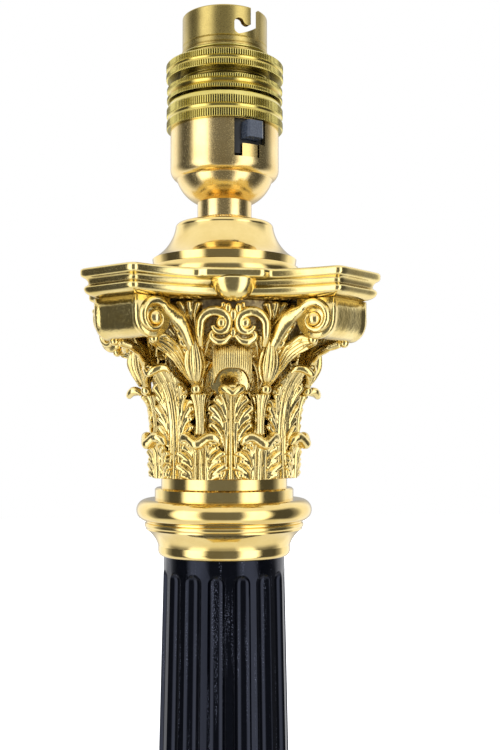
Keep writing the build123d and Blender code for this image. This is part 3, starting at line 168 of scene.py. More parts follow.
def panorama(tree, x, y):
    """What a mirror sees at eye level towards (x, y): dark room, two soft boxes, white surround."""
    behind = add(tree, "ShaderNodeMath", {"operation": "MULTIPLY"}, {0: y, 1: -1.0})
    angle = add(tree, "ShaderNodeMath", {"operation": "ARCTAN2"}, {0: x, 1: behind.outputs[0]})
    off = add(tree, "ShaderNodeMath", {"operation": "SUBTRACT"}, {
        0: angle.outputs[0], 1: radians(camera_azimuth)})
    share = add(tree, "ShaderNodeMath", {"operation": "MULTIPLY_ADD"}, {
        0: off.outputs[0], 1: 0.5 / pi, 2: 0.5})
    return ramp(tree, share.outputs[0], [
        (0.0, 0.45), (around(-165), 0.6), (around(-150), 1.25), (around(-124), 1.2),
        (around(-112), 0.4), (around(-100), 0.09), (around(-76), 0.09), (around(-64), 2.3),
        (around(-40), 2.3), (around(-28), 0.19), (around(22), 0.19), (around(34), 2.2),
        (around(56), 2.2), (around(68), 0.09), (around(98), 0.09), (around(110), 0.4),
        (around(122), 1.2), (around(150), 1.25), (around(165), 0.6), (1.0, 0.45),
    ])


print("the left box begins on the ramp at", round(around(-64), 3))

# %% Surround
world = bpy.data.worlds.new("studio")
bpy.context.scene.world = world
world.use_nodes = True
tree = world.node_tree
tree.nodes.clear()
direction = add(tree, "ShaderNodeTexCoord").outputs["Generated"]
axes = add(tree, "ShaderNodeSeparateXYZ", inputs={0: direction})
wall = panorama(tree, axes.outputs["X"], axes.outputs["Y"])
rise = add(tree, "ShaderNodeMapRange", {"interpolation_type": "SMOOTHSTEP"}, {
    "Value": axes.outputs["Z"], "From Min": 0.4, "From Max": 0.66, "To Min": 0.0, "To Max": 1.0})
room = add(tree, "ShaderNodeMix", {"data_type": "RGBA"}, {
    "Factor": rise.outputs["Result"], "A": wall, "B": (1.12, 1.12, 1.12, 1.0)})
light_path = add(tree, "ShaderNodeLightPath")
mirror_ray = add(tree, "ShaderNodeMath", {"operation": "MAXIMUM"}, {
    0: light_path.outputs["Is Glossy Ray"], 1: light_path.outputs["Is Transmission Ray"]})
plain = add(tree, "ShaderNodeBackground", inputs={"Color": (0.94, 0.96, 1.0, 1.0), "Strength": 0.75})
reflected = add(tree, "ShaderNodeBackground", inputs={"Color": room.outputs["Result"], "Strength": 1.0})
white = add(tree, "ShaderNodeBackground", inputs={"Color": (1.0, 1.0, 1.0, 1.0), "Strength": 1.0})
lit = add(tree, "ShaderNodeMixShader", inputs={
    0: mirror_ray.outputs[0], 1: plain.outputs[0], 2: reflected.outputs[0]})
seen = add(tree, "ShaderNodeMixShader", inputs={
    0: light_path.outputs["Is Camera Ray"], 1: lit.outputs[0], 2: white.outputs[0]})
add(tree, "ShaderNodeOutputWorld", inputs={"Surface": seen.outputs[0]})
print("panorama of", len(tree.nodes), "nodes")

# %% The floor's plane
FLOOR_HALF = 4.0
floor_mesh = bpy.data.meshes.new("floor")
corners = [(x * FLOOR_HALF, y * FLOOR_HALF, 0.0) for x, y in ((-1, -1), (1, -1), (1, 1), (-1, 1))]
floor_mesh.from_pydata(corners, [], [(0, 1, 2, 3)])
floor = bpy.data.objects.new("floor", floor_mesh)
bpy.context.scene.collection.objects.link(floor)
print("floor of", 2 * FLOOR_HALF, "m")

# %% White paper for the camera, the panorama for mirrors
paper = bpy.data.materials.new("white_paper_floor")
paper.use_nodes = True
tree = paper.node_tree
tree.nodes.clear()
matt = add(tree, "ShaderNodeBsdfDiffuse", inputs={"Color": colour("#F4F4F4")})
place = add(tree, "ShaderNodeTexCoord").outputs["Object"]
reach = add(tree, "ShaderNodeVectorMath", {"operation": "LENGTH"}, {0: place})
level = add(tree, "ShaderNodeMapRange", inputs={
    "Value": reach.outputs["Value"], "From Min": 0.3, "From Max": 1.1, "To Min": 0.35, "To Max": 1.0})
glow = add(tree, "ShaderNodeEmission", inputs={
    "Color": (1.0, 1.0, 1.0, 1.0), "Strength": level.outputs["Result"]})
both = add(tree, "ShaderNodeAddShader", inputs={0: matt.outputs[0], 1: glow.outputs[0]})
light_path = add(tree, "ShaderNodeLightPath")
axes = add(tree, "ShaderNodeSeparateXYZ", inputs={0: place})
far = panorama(tree, axes.outputs["X"], axes.outputs["Y"])
from_back = add(tree, "ShaderNodeVectorMath", {"operation": "DISTANCE"}, {0: place, 1: (0.0, 0.15, 0.0)})
paper_end = add(tree, "ShaderNodeMapRange", {"interpolation_type": "SMOOTHSTEP"}, {
    "Value": from_back.outputs["Value"], "From Min": 0.32, "From Max": 0.56, "To Min": 0.0, "To Max": 1.0})
image = add(tree, "ShaderNodeMix", {"data_type": "RGBA"}, {
    "Factor": paper_end.outputs["Result"], "A": (1.0, 1.0, 1.0, 1.0), "B": far})
image = add(tree, "ShaderNodeEmission", inputs={"Color": image.outputs["Result"], "Strength": 1.0})
in_mirror = add(tree, "ShaderNodeMixShader", inputs={
    0: light_path.outputs["Is Glossy Ray"], 1: matt.outputs[0], 2: image.outputs[0]})
chosen = add(tree, "ShaderNodeMixShader", inputs={
    0: light_path.outputs["Is Camera Ray"], 1: in_mirror.outputs[0], 2: both.outputs[0]})
add(tree, "ShaderNodeOutputMaterial", inputs={"Surface": chosen.outputs[0]})
floor_mesh.materials.append(paper)
print("paper of", len(tree.nodes), "nodes")

# %% [markdown]
# ## Brass
#
# Nearly all that shows is brass, but worked in several ways. The capital and abacus are cast and
# buffed: soft ripples, and purple-brown painted shade in the hollows and under the abacus. The collar,
# plain rings and bell cap are turned: faint rings from the tool under a mirror polish. The holder's
# cup is spun from sheet and has a fine satin grain. The barrel is bare aged brass, greener and duller,
# and the clamp and shade rings are bare too, but shinier, with painted shade in their grooves and
# undersides. One function mixes these: the base colour is what a mirror of this alloy gives back,
# roughness says how far the polish went, and bumps have sizes in millimetres. Where a surface curves
# in, a deep yellow is painted in as shade and as light bounced in the hollow. Tool marks are finer
# than 0.1 mm in fact, and are drawn at 0.35 mm so that they show.


# %% The rule for brass
PATCH_SIZE = 9.0
TOOL_MARK = 0.35
# Painted shade and bounced light: brass that curves inwards is mixed towards this deep yellow.
PAINTED_HOLLOW_TONE = "#B38A22"


def per_mm(size):
    """Texture scale, in metres, of a pattern whose spots are that many millimetres."""
    return 1.0 / (size * MM)


def brass(name, bright, deep, polish, dull, ripple, ripple_depth, grain, grain_depth, lathe=0.0, painted_hollow_shade=0.0,
          painted_shade_tone="#3D2C2C"):
    """A brass finish. Ripple and grain are sizes in mm with their depths in mm."""
    made = bpy.data.materials.new(name)
    made.use_nodes = True
    tree = made.node_tree
    tree.nodes.clear()
    place = add(tree, "ShaderNodeTexCoord").outputs["Object"]
    cloud = add(tree, "ShaderNodeTexNoise", inputs={
        "Vector": place, "Scale": per_mm(PATCH_SIZE), "Detail": 4.0, "Roughness": 0.6})
    fine = add(tree, "ShaderNodeTexNoise", inputs={"Vector": place, "Scale": per_mm(grain), "Detail": 3.0})
    wave = add(tree, "ShaderNodeTexNoise", inputs={"Vector": place, "Scale": per_mm(ripple), "Detail": 2.0})
    patch = add(tree, "ShaderNodeMapRange", inputs={
        "Value": cloud.outputs["Fac"], "From Min": 0.35, "From Max": 0.75, "To Min": 0.0, "To Max": 0.65})
    tone = add(tree, "ShaderNodeMix", {"data_type": "RGBA"}, {
        "Factor": patch.outputs["Result"], "A": colour(bright), "B": colour(deep)})
    tone = tone.outputs["Result"]
    rough = add(tree, "ShaderNodeMapRange", inputs={
        "Value": fine.outputs["Fac"], "From Min": 0.3, "From Max": 0.7, "To Min": polish, "To Max": dull})
    rough = rough.outputs["Result"]
    height = add(tree, "ShaderNodeMath", {"operation": "MULTIPLY"}, {0: wave.outputs["Fac"], 1: ripple_depth})
    height = add(tree, "ShaderNodeMath", {"operation": "MULTIPLY_ADD"}, {
        0: fine.outputs["Fac"], 1: grain_depth, 2: height.outputs[0]})
    if lathe:
        axes = add(tree, "ShaderNodeSeparateXYZ", inputs={0: place})
        rings = add(tree, "ShaderNodeTexNoise", {"noise_dimensions": "1D"}, {
            "W": axes.outputs["Z"], "Scale": per_mm(TOOL_MARK), "Detail": 2.0})
        height = add(tree, "ShaderNodeMath", {"operation": "MULTIPLY_ADD"}, {
            0: rings.outputs["Fac"], 1: lathe, 2: height.outputs[0]})
    # Painted shade and bounced light: where the surface curves in, the colour goes towards the deep yellow.
    if painted_hollow_shade:
        curve = add(tree, "ShaderNodeNewGeometry").outputs["Pointiness"]
        hollow = add(tree, "ShaderNodeMapRange", {"interpolation_type": "SMOOTHSTEP"}, {
            "Value": curve, "From Min": 0.42, "From Max": 0.495, "To Min": painted_hollow_shade, "To Max": 0.0})
        tone = add(tree, "ShaderNodeMix", {"data_type": "RGBA"}, {
            "Factor": hollow.outputs["Result"], "A": tone, "B": colour(PAINTED_HOLLOW_TONE)}).outputs["Result"]
        # Painted shade: the shade value stored at each point darkens the brass towards a dark tone.
        painted_shade = add(tree, "ShaderNodeAttribute", {"attribute_name": "painted_shade"}).outputs["Fac"]
        broken = add(tree, "ShaderNodeMapRange", inputs={
            "Value": wave.outputs["Fac"], "From Min": 0.3, "From Max": 0.6, "To Min": 0.75, "To Max": 1.0})
        shaded = add(tree, "ShaderNodeMath", {"operation": "MULTIPLY"}, {0: painted_shade, 1: broken.outputs["Result"]})
        tone = add(tree, "ShaderNodeMix", {"data_type": "RGBA"}, {
            "Factor": shaded.outputs[0], "A": tone, "B": colour(painted_shade_tone)}).outputs["Result"]
        rough = add(tree, "ShaderNodeMath", {"operation": "MULTIPLY_ADD", "use_clamp": True}, {
            0: shaded.outputs[0], 1: 0.22, 2: rough}).outputs[0]
    bump = add(tree, "ShaderNodeBump", inputs={"Height": height.outputs[0], "Strength": 1.0, "Distance": MM})
    metal = add(tree, "ShaderNodeBsdfPrincipled", inputs={
        "Base Color": tone, "Metallic": 1.0, "Roughness": rough, "Normal": bump.outputs["Normal"]})
    add(tree, "ShaderNodeOutputMaterial", inputs={"Surface": metal.outputs[0]})
    return made


print("a pattern with spots of 1 mm has scale", per_mm(1.0))

# %% Seven kinds of brass
cast_brass = brass("cast_brass_buffed", "#F4DF9C", "#DCBE68", polish=0.1, dull=0.24, ripple=1.8,
                   ripple_depth=0.085, grain=0.45, grain_depth=0.018, painted_hollow_shade=0.45)
abacus_brass = brass("cast_brass_plate_buffed", "#EFDB99", "#D6B964", polish=0.1, dull=0.24, ripple=3.5,
                     ripple_depth=0.035, grain=0.5, grain_depth=0.006, painted_hollow_shade=0.55)
turned_brass = brass("turned_brass_mirror_polished", "#EFD691", "#DCBC6A", polish=0.07, dull=0.15, ripple=6.0,
                     ripple_depth=0.012, grain=0.5, grain_depth=0.003, lathe=0.002)
spun_brass = brass("spun_brass_satin_polished", "#F2D99C", "#DFBE78", polish=0.13, dull=0.29, ripple=3.0,
                   ripple_depth=0.006, grain=0.35, grain_depth=0.009, lathe=0.003)
aged_brass = brass("bare_brass_aged", "#BFAB68", "#93804A", polish=0.24, dull=0.36, ripple=2.5,
                   ripple_depth=0.004, grain=0.3, grain_depth=0.003, lathe=0.003, painted_hollow_shade=0.5,
                   painted_shade_tone="#4E4222")
ring_brass = brass("turned_brass_knurled", "#E2D482", "#C0AE54", polish=0.1, dull=0.2, ripple=4.0,
                   ripple_depth=0.004, grain=0.4, grain_depth=0.002, lathe=0.002, painted_hollow_shade=0.85,
                   painted_shade_tone="#3A2E10")
raw_brass = brass("machined_brass", "#E0C584", "#C9A961", polish=0.18, dull=0.3, ripple=2.0,
                  ripple_depth=0.004, grain=0.3, grain_depth=0.004, lathe=0.002)
brasses = (cast_brass, abacus_brass, turned_brass, spun_brass, aged_brass, ring_brass, raw_brass)
print("brass finishes:", [metal.name for metal in brasses])

# %% [markdown]
# ## Other finishes
#
# The shaft is enamelled in gloss black, with bluish specks that lie in long upright lanes: dust, and
# painted highlight streaks along the flutes. The switch bar is black pressed phenolic, worn to a satin
# by handling, and its bluish grey is a painted reflection. Below and inside there are zinc-plated
# steel, grey iron, beech, nylon, ivory urea for the contact insert, spring wire and green baize, each
# with its own grain. Dust is finer than the specks drawn here, which are 0.22 mm so that they show.


# %% The rule for the other finishes
DUST_AND_SHEEN_SPECK, DUST_AND_SHEEN_LANE = 0.22, 1.6
DUST_AND_SHEEN_TONE = "#7C8194"


def plain_finish(name, main, second, spot, low, high, bumps, metallic=0.0, gloss=0.5, stretch=(1, 1, 1),
                 sheen=0.0, dust_and_sheen=0.0, tint="#FFFFFF"):
    """A finish of two tones broken up by noise, with roughness from low to high and bumps in mm."""
    made = bpy.data.materials.new(name)
    made.use_nodes = True
    tree = made.node_tree
    tree.nodes.clear()
    place = add(tree, "ShaderNodeTexCoord").outputs["Object"]
    place = add(tree, "ShaderNodeMapping", inputs={"Vector": place, "Scale": stretch}).outputs["Vector"]
    grain = add(tree, "ShaderNodeTexNoise", inputs={
        "Vector": place, "Scale": per_mm(spot), "Detail": 5.0, "Roughness": 0.65})
    tone = ramp(tree, grain.outputs["Fac"], [(0.3, main), (0.72, second)])
    rough = add(tree, "ShaderNodeMapRange", inputs={
        "Value": grain.outputs["Fac"], "From Min": 0.3, "From Max": 0.7, "To Min": low, "To Max": high})
    # Bluish specks in upright lanes: dust, and painted highlight streaks.
    if dust_and_sheen:
        speck = add(tree, "ShaderNodeTexNoise", inputs={
            "Vector": place, "Scale": per_mm(DUST_AND_SHEEN_SPECK), "Detail": 1.0})
        tall = add(tree, "ShaderNodeMapping", inputs={"Vector": place, "Scale": (1.0, 1.0, 0.04)})
        streak = add(tree, "ShaderNodeTexNoise", inputs={
            "Vector": tall.outputs["Vector"], "Scale": per_mm(DUST_AND_SHEEN_LANE), "Detail": 2.0})
        spots = add(tree, "ShaderNodeMapRange", inputs={
            "Value": speck.outputs["Fac"], "From Min": 0.6, "From Max": 0.68, "To Min": 0.0, "To Max": dust_and_sheen})
        lanes = add(tree, "ShaderNodeMapRange", inputs={
            "Value": streak.outputs["Fac"], "From Min": 0.58, "From Max": 0.66, "To Min": 0.0, "To Max": 1.0})
        dust_and_sheen_mask = add(tree, "ShaderNodeMath", {"operation": "MULTIPLY"}, {
            0: spots.outputs["Result"], 1: lanes.outputs["Result"]})
        tone = add(tree, "ShaderNodeMix", {"data_type": "RGBA"}, {
            "Factor": dust_and_sheen_mask.outputs[0], "A": tone, "B": colour(DUST_AND_SHEEN_TONE)}).outputs["Result"]
    bump = add(tree, "ShaderNodeBump", inputs={
        "Height": grain.outputs["Fac"], "Strength": 1.0, "Distance": bumps * MM})
    skin = add(tree, "ShaderNodeBsdfPrincipled", inputs={
        "Base Color": tone, "Metallic": metallic, "Roughness": rough.outputs["Result"],
        "Specular IOR Level": gloss, "Specular Tint": colour(tint), "Sheen Weight": sheen,
        "Normal": bump.outputs["Normal"]})
    add(tree, "ShaderNodeOutputMaterial", inputs={"Surface": skin.outputs[0]})
    return made


print("dust specks of", DUST_AND_SHEEN_SPECK, "mm in lanes of", DUST_AND_SHEEN_LANE, "mm")

# %% Paint, plastic, steel, wood and cloth
enamel = plain_finish("gloss_black_enamel", "#020306", "#07080E", spot=1.6, low=0.06, high=0.13, bumps=0.01,
                      gloss=0.32, dust_and_sheen=0.8, tint="#D2DCFF")
phenolic = plain_finish("phenolic_pressed", "#08090B", "#131418", spot=0.5, low=0.3, high=0.45, bumps=0.01)
# Painted reflection: the bar's black phenolic is drawn bluish grey.
painted_reflection_phenolic = plain_finish("phenolic_pressed_painted_reflection", "#3B424F", "#4C5463", spot=0.7, low=0.2, high=0.34,
                             bumps=0.012)
ivory = plain_finish("urea_moulded_ivory", "#E4DBC4", "#D8CDB2", spot=1.2, low=0.25, high=0.38, bumps=0.005)
nylon = plain_finish("nylon_moulded_black", "#121212", "#1D1D1D", spot=0.6, low=0.35, high=0.5, bumps=0.008)
plated_steel = plain_finish("steel_zinc_plated", "#C9CBCB", "#A9ACAE", spot=1.0, low=0.22, high=0.38,
                            bumps=0.004, metallic=1.0)
spring_steel = plain_finish("steel_wire_drawn", "#B9BBBD", "#8E9194", spot=0.4, low=0.2, high=0.32,
                            bumps=0.004, metallic=1.0)
grey_iron = plain_finish("grey_iron_cast", "#5A5B5C", "#3E3F41", spot=0.9, low=0.55, high=0.75, bumps=0.06,
                         metallic=0.7)
beech = plain_finish("beech_turned", "#C79F72", "#A97C4F", spot=0.8, low=0.45, high=0.6, bumps=0.02,
                     stretch=(1, 1, 0.12))
baize = plain_finish("baize_pressed_wool", "#1E5A38", "#123D25", spot=0.35, low=0.85, high=1.0, bumps=0.09,
                     sheen=0.4)
print("materials so far:", len(bpy.data.materials))

# %% A finish for every solid
finishes = {
    "cast_brass": cast_brass, "turned_brass": turned_brass, "spun_brass": spun_brass,
    "aged_brass": aged_brass, "raw_brass": raw_brass, "black_enamel": enamel,
    "phenolic": phenolic, "ivory_moulding": ivory, "black_nylon": nylon, "plated_steel": plated_steel,
    "spring_steel": spring_steel, "grey_iron": grey_iron, "beech": beech, "baize": baize,
}
own_finish = {"stepped_plinth": abacus_brass, "neck_nipple": spun_brass, "switch_bar": painted_reflection_phenolic}
for part in frame["record"]["subparts"]:
    solid = nodes[part["node"]]
    finish = own_finish.get(part["node"], finishes[part["material_slot"]])
    solid.data.materials.clear()
    solid.data.materials.append(finish)

# %% [markdown]
# ## Making meshes
#
# Carved forms are grids: a rule says where the point (u, v) of a surface lies, and a sheet of
# quads joins the points. numpy works out a whole grid at once. A grid that is doubled, with
# its back a wall's thickness behind the front, is a closed shell, as a casting is.


# %% Soft steps and smooth curves
def smooth(low, high, value):
    """0 below low, 1 above high, and a soft S between."""
    t = np.clip((value - low) / (high - low), 0.0, 1.0)
    return t * t * (3 - 2 * t)


def along(points, shares):
    """Places on a smooth curve through the points, at shares of its length from 0 to 1."""
    points = np.array(points, float)
    padded = np.vstack([2 * points[0] - points[1], points, 2 * points[-1] - points[-2]])
    dense = []
    for k in range(len(points) - 1):
        a, b, c, d = padded[k:k + 4]
        t = np.linspace(0, 1, 24, endpoint=k == len(points) - 2)[:, None]
        square, cube = 2 * a - 5 * b + 4 * c - d, 3 * b - a - 3 * c + d
        dense.append(0.5 * (2 * b + (c - a) * t + square * t**2 + cube * t**3))
    dense = np.vstack(dense)
    run = np.concatenate([[0], np.cumsum(np.linalg.norm(np.diff(dense, axis=0), axis=1))])
    return np.stack([np.interp(np.asarray(shares) * run[-1], run, column) for column in dense.T], axis=-1)


print("halfway up a soft step:", float(smooth(0.0, 1.0, 0.5)))


# %% Faces of grids
def sheet_faces(rows, columns, start=0, flip=False, closed=False):
    """Quads of a grid of points stored row by row. A closed grid joins its last column to its first."""
    quads = []
    for row in range(rows - 1):
        for column in range(columns if closed else columns - 1):
            after = (column + 1) % columns
            a, b = start + row * columns + column, start + row * columns + after
            quad = (a, b, b + columns, a + columns)
            quads.append(quad[::-1] if flip else quad)
    return quads


def capped(rows, columns, flip=False):
    """Faces of a round bar stored ring by ring, with a face across each end."""
    first, last = tuple(range(columns)), tuple(range((rows - 1) * columns, rows * columns))
    ends = [first, last[::-1]] if flip else [first[::-1], last]
    return sheet_faces(rows, columns, closed=True, flip=flip) + ends


def shell(front, back):
    """Points and faces of a closed shell between two grids of the same shape (rows, columns, 3)."""
    rows, columns = front.shape[:2]
    count = rows * columns
    faces = sheet_faces(rows, columns) + sheet_faces(rows, columns, count, flip=True)
    edge = [(0, c) for c in range(columns)] + [(r, columns - 1) for r in range(1, rows)]
    edge += [(rows - 1, c) for c in range(columns - 2, -1, -1)] + [(r, 0) for r in range(rows - 2, 0, -1)]
    ring = [r * columns + c for r, c in edge]
    for a, b in zip(ring, ring[1:] + ring[:1]):
        faces.append((b, a, a + count, b + count))
    return np.vstack([front.reshape(-1, 3), back.reshape(-1, 3)]), faces


def ringed(grid):
    """Points and faces of a solid ring: rows run down its outside, columns run anticlockwise."""
    count = grid.shape[0] * grid.shape[1]
    quads = sheet_faces(grid.shape[0] + 1, grid.shape[1], closed=True, flip=True)
    return grid.reshape(-1, 3), [tuple(k % count for k in quad) for quad in quads]


def on_round(radius, angle, level):
    """A grid of points, each at a radius, an angle from the front and a level."""
    spots = (radius * np.sin(angle), -radius * np.cos(angle), level)
    return np.stack(np.broadcast_arrays(*spots), axis=-1)


print("a bar of 3 rings with 8 points has", len(capped(3, 8)), "faces")


# %% Meshes from points and faces
def outward(points, faces):
    """The faces, turned over if need be, so that the volume they enclose comes out positive."""
    points, volume = np.asarray(points), 0.0
    for size in {len(face) for face in faces}:
        ring = points[np.array([face for face in faces if len(face) == size])]
        for k in range(1, size - 1):
            volume += np.sum(ring[:, 0] * np.cross(ring[:, k], ring[:, k + 1]))
    return faces if volume > 0 else [face[::-1] for face in faces]


def mesh_of(name, points, faces, painted_shade=None, soft=True):
    """A mesh from points in millimetres, with an optional painted shade value at each point."""
    mesh = bpy.data.meshes.new(name)
    mesh.from_pydata((np.asarray(points) * MM).tolist(), [], outward(points, faces))
    if soft:
        mesh.polygons.foreach_set("use_smooth", [True] * len(mesh.polygons))
    layer = mesh.attributes.new("painted_shade", "FLOAT", "POINT")
    dark = np.zeros(len(points)) if painted_shade is None else np.asarray(painted_shade, float).ravel()
    layer.data.foreach_set("value", dark)
    mesh.update()
    return mesh


def joined(parts):
    """Several (points, faces, painted shade) as one."""
    points, faces, painted_shades, start = [], [], [], 0
    for some_points, some_faces, painted_shade in parts:
        points.append(some_points)
        painted_shades.append(np.full(len(some_points), painted_shade) if np.isscalar(painted_shade) else painted_shade.ravel())
        faces += [tuple(start + k for k in face) for face in outward(some_points, some_faces)]
        start += len(some_points)
    return np.vstack(points), faces, np.concatenate(painted_shades)


print("mesh helpers ready")


# %% Carving strokes
def carve(x, y, strokes):
    """Height at (x, y) of round-backed strokes, each (x, y, x, y, radius, radius, height, height)."""
    ground = np.zeros(np.broadcast(x, y).shape)
    for x0, y0, x1, y1, r0, r1, h0, h1 in strokes:
        dx, dy = x1 - x0, y1 - y0
        t = np.clip(((x - x0) * dx + (y - y0) * dy) / (dx * dx + dy * dy), 0, 1)
        gap = np.hypot(x - x0 - t * dx, y - y0 - t * dy) / (r0 + (r1 - r0) * t)
        ground = np.maximum(ground, (h0 + (h1 - h0) * t) * np.sqrt(np.clip(1 - gap**2, 0, 1)))
    return ground


def bent(points, radii, heights, pieces=6):
    """One curved stroke through points, made of short straight ones."""
    shares = np.linspace(0, 1, pieces + 1)
    path = along(points, shares)
    r = np.interp(shares, np.linspace(0, 1, len(radii)), radii)
    h = np.interp(shares, np.linspace(0, 1, len(heights)), heights)
    return [(*path[k], *path[k + 1], r[k], r[k + 1], h[k], h[k + 1]) for k in range(pieces)]


def fan(root, tips, radii=(0.35, 0.8), heights=(0.2, 0.95)):
    """Leaflets that rise from one root and bend out to their tips."""
    strokes = []
    for x, y in tips:
        bend = (root[0] + 0.4 * (x - root[0]), root[1] + 0.62 * (y - root[1]))
        strokes += bent([root, bend, (x, y)], radii, heights, 4)
    return strokes


print("leaflets of a fan of 3 tips are cut in", len(fan((0, 0), [(1, 2), (2, 2), (3, 1)])), "strokes")


# %% Beads, bars and mirror halves
def ball(centre, radius, flat=1.0, tall=1.0, top=0.02, rows=14, columns=24):
    """A bead as a closed grid, its poles on the upright axis. A top of half pi leaves the lower half."""
    theta = np.linspace(pi - 0.02, top, rows)[:, None]
    phi = np.linspace(0, 2 * pi, columns, endpoint=False)[None, :]
    ring = np.sin(theta)
    grid = np.stack([ring * np.cos(phi), flat * ring * np.sin(phi), tall * np.cos(theta) + 0 * phi], axis=-1)
    points = np.array(centre) + radius * grid.reshape(-1, 3)
    return points, capped(rows, columns), 0.0


def frame_of(path, outer_side):
    """Across and face vectors of a path whose outer side looks roughly along outer_side."""
    tangent = np.gradient(path, axis=0)
    tangent /= np.linalg.norm(tangent, axis=1)[:, None]
    across = np.cross(tangent, outer_side)
    across /= np.linalg.norm(across, axis=1)[:, None]
    return across, np.cross(across, tangent)


def tube(path, radii, sides=16):
    """A closed round bar along a path of points."""
    across, up = frame_of(path, (0.0, -1.0, 0.0))
    a = np.linspace(0, 2 * pi, sides, endpoint=False)
    ring = across[:, None, :] * np.cos(a)[None, :, None] + up[:, None, :] * np.sin(a)[None, :, None]
    grid = path[:, None, :] + ring * np.asarray(radii)[:, None, None]
    return grid.reshape(-1, 3), capped(len(path), sides), 0.0


def mirrored(part):
    """The same piece on the other side of the middle plane."""
    points, faces, painted_shade = part
    return points * np.array([-1.0, 1.0, 1.0]), [face[::-1] for face in faces], painted_shade


print("a bead has", len(ball((0, 0, 0), 1.0)[1]), "faces")

# %% [markdown]
# ## A wheel of copies
#
# Leaves, scrolls and knurling all repeat round the axis. One small Geometry Nodes tree does this:
# it puts a point on the axis for each copy, stands the piece on every point, turned by its share
# of the circle, makes the copies real, and welds the seams where neighbours share an edge.


# %% A tree with named inputs
def shape_tree(name, sockets):
    """A Geometry Nodes tree, its inputs' identifiers by label, and the inputs as sockets to link."""
    tree = bpy.data.node_groups.new(name, "GeometryNodeTree")
    tree.interface.new_socket("Geometry", in_out="INPUT", socket_type="NodeSocketGeometry")
    labels = {}
    for label, kind in sockets:
        labels[label] = tree.interface.new_socket(label, in_out="INPUT", socket_type=kind).identifier
    tree.interface.new_socket("Geometry", in_out="OUTPUT", socket_type="NodeSocketGeometry")
    return tree, labels, add(tree, "NodeGroupInput").outputs


print("trees so far:", len(bpy.data.node_groups))

# %% The wheel tree
wheel, wheel_inputs, given = shape_tree("wheel_of_copies", (
    ("Copies", "NodeSocketInt"), ("First turn", "NodeSocketFloat"),
    ("Weld distance", "NodeSocketFloat"), ("Finish", "NodeSocketMaterial"),
))
hubs = add(wheel, "GeometryNodeMeshLine", inputs={"Count": given["Copies"], "Offset": (0.0, 0.0, 0.0)})
number = add(wheel, "GeometryNodeInputIndex").outputs[0]
step = add(wheel, "ShaderNodeMath", {"operation": "DIVIDE"}, {0: 2 * pi, 1: given["Copies"]})
turn = add(wheel, "ShaderNodeMath", {"operation": "MULTIPLY_ADD"}, {
    0: number, 1: step.outputs[0], 2: given["First turn"]})
facing = add(wheel, "ShaderNodeCombineXYZ", inputs={"Z": turn.outputs[0]})
copies = add(wheel, "GeometryNodeInstanceOnPoints", inputs={
    "Points": hubs.outputs[0], "Instance": given["Geometry"], "Rotation": facing.outputs[0]})
real = add(wheel, "GeometryNodeRealizeInstances", inputs={"Geometry": copies.outputs[0]})
welded = add(wheel, "GeometryNodeMergeByDistance", inputs={
    "Geometry": real.outputs[0], "Distance": given["Weld distance"]})
dressed = add(wheel, "GeometryNodeSetMaterial", inputs={
    "Geometry": welded.outputs[0], "Material": given["Finish"]})
add(wheel, "NodeGroupOutput", inputs={"Geometry": dressed.outputs[0]})
print("inputs of the wheel:", list(wheel_inputs))


# %% Pieces grown from a tree
def grown(name, mesh, tree, values):
    """The mesh with a Geometry Nodes tree worked out on it, as a plain object at the origin."""
    seed = bpy.data.objects.new(name + "_seed", mesh)
    bpy.context.scene.collection.objects.link(seed)
    modifier = seed.modifiers.new("nodes", "NODES")
    modifier.node_group = tree
    for identifier, value in values.items():
        modifier[identifier] = value
    result = bpy.data.meshes.new_from_object(seed.evaluated_get(bpy.context.evaluated_depsgraph_get()))
    bpy.data.objects.remove(seed)
    result.name = name
    piece = bpy.data.objects.new(name, result)
    bpy.context.scene.collection.objects.link(piece)
    print(name, "has", len(result.polygons), "faces")
    return piece


def wheeled(name, mesh, copies, first, finish, weld=0.0):
    """Copies of a mesh round the lamp's axis. The weld distance is in millimetres."""
    return grown(name, mesh, wheel, {
        wheel_inputs["Copies"]: copies, wheel_inputs["First turn"]: radians(first),
        wheel_inputs["Weld distance"]: weld * MM, wheel_inputs["Finish"]: finish})


def settle(piece, body, replaced=()):
    """Says which body carries a finished piece and the solids that it stands for."""
    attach(piece, body)
    if replaced:
        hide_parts(*replaced)


def carved(name, parts, copies, first):
    """A piece of the capital: closed parts joined, repeated round the axis and settled."""
    points, faces, painted_shade = joined(parts)
    piece = wheeled(name, mesh_of(name + "_copy", points, faces, painted_shade), copies, first, cast_brass)
    settle(piece, "lamp", ("capital_casting",))


print("pieces can be grown, wheeled and settled")

# %% [markdown]
# ## Knurled rings
#
# The rings are rolled under a toothed wheel so that fingers can grip them. Cutting 160 grooves in
# a solid is slow. Instead one tooth's wedge of the ring is drawn: its outline in section, closed,
# at six places across one tooth, where the knurled stretches rise and fall and the rest stays
# round. The wheel tree turns the wedge into the ring and welds it.

# %% One tooth of a ring
TOOTH_HEIGHT = 0.45
TOOTH_SHARES = (0.0, 0.28, 0.42, 0.58, 0.72, 1.0)
TOOTH_SHAPE = (0.0, 0.85, 1.0, 1.0, 0.85, 0.0)
# Painted shade: the knurl's grooves and the inner undersides of the rings are darkened.
GROOVE_SHADE = 0.95
VALLEY_SHADE, VALLEY_RADIUS = 0.9, 15.0


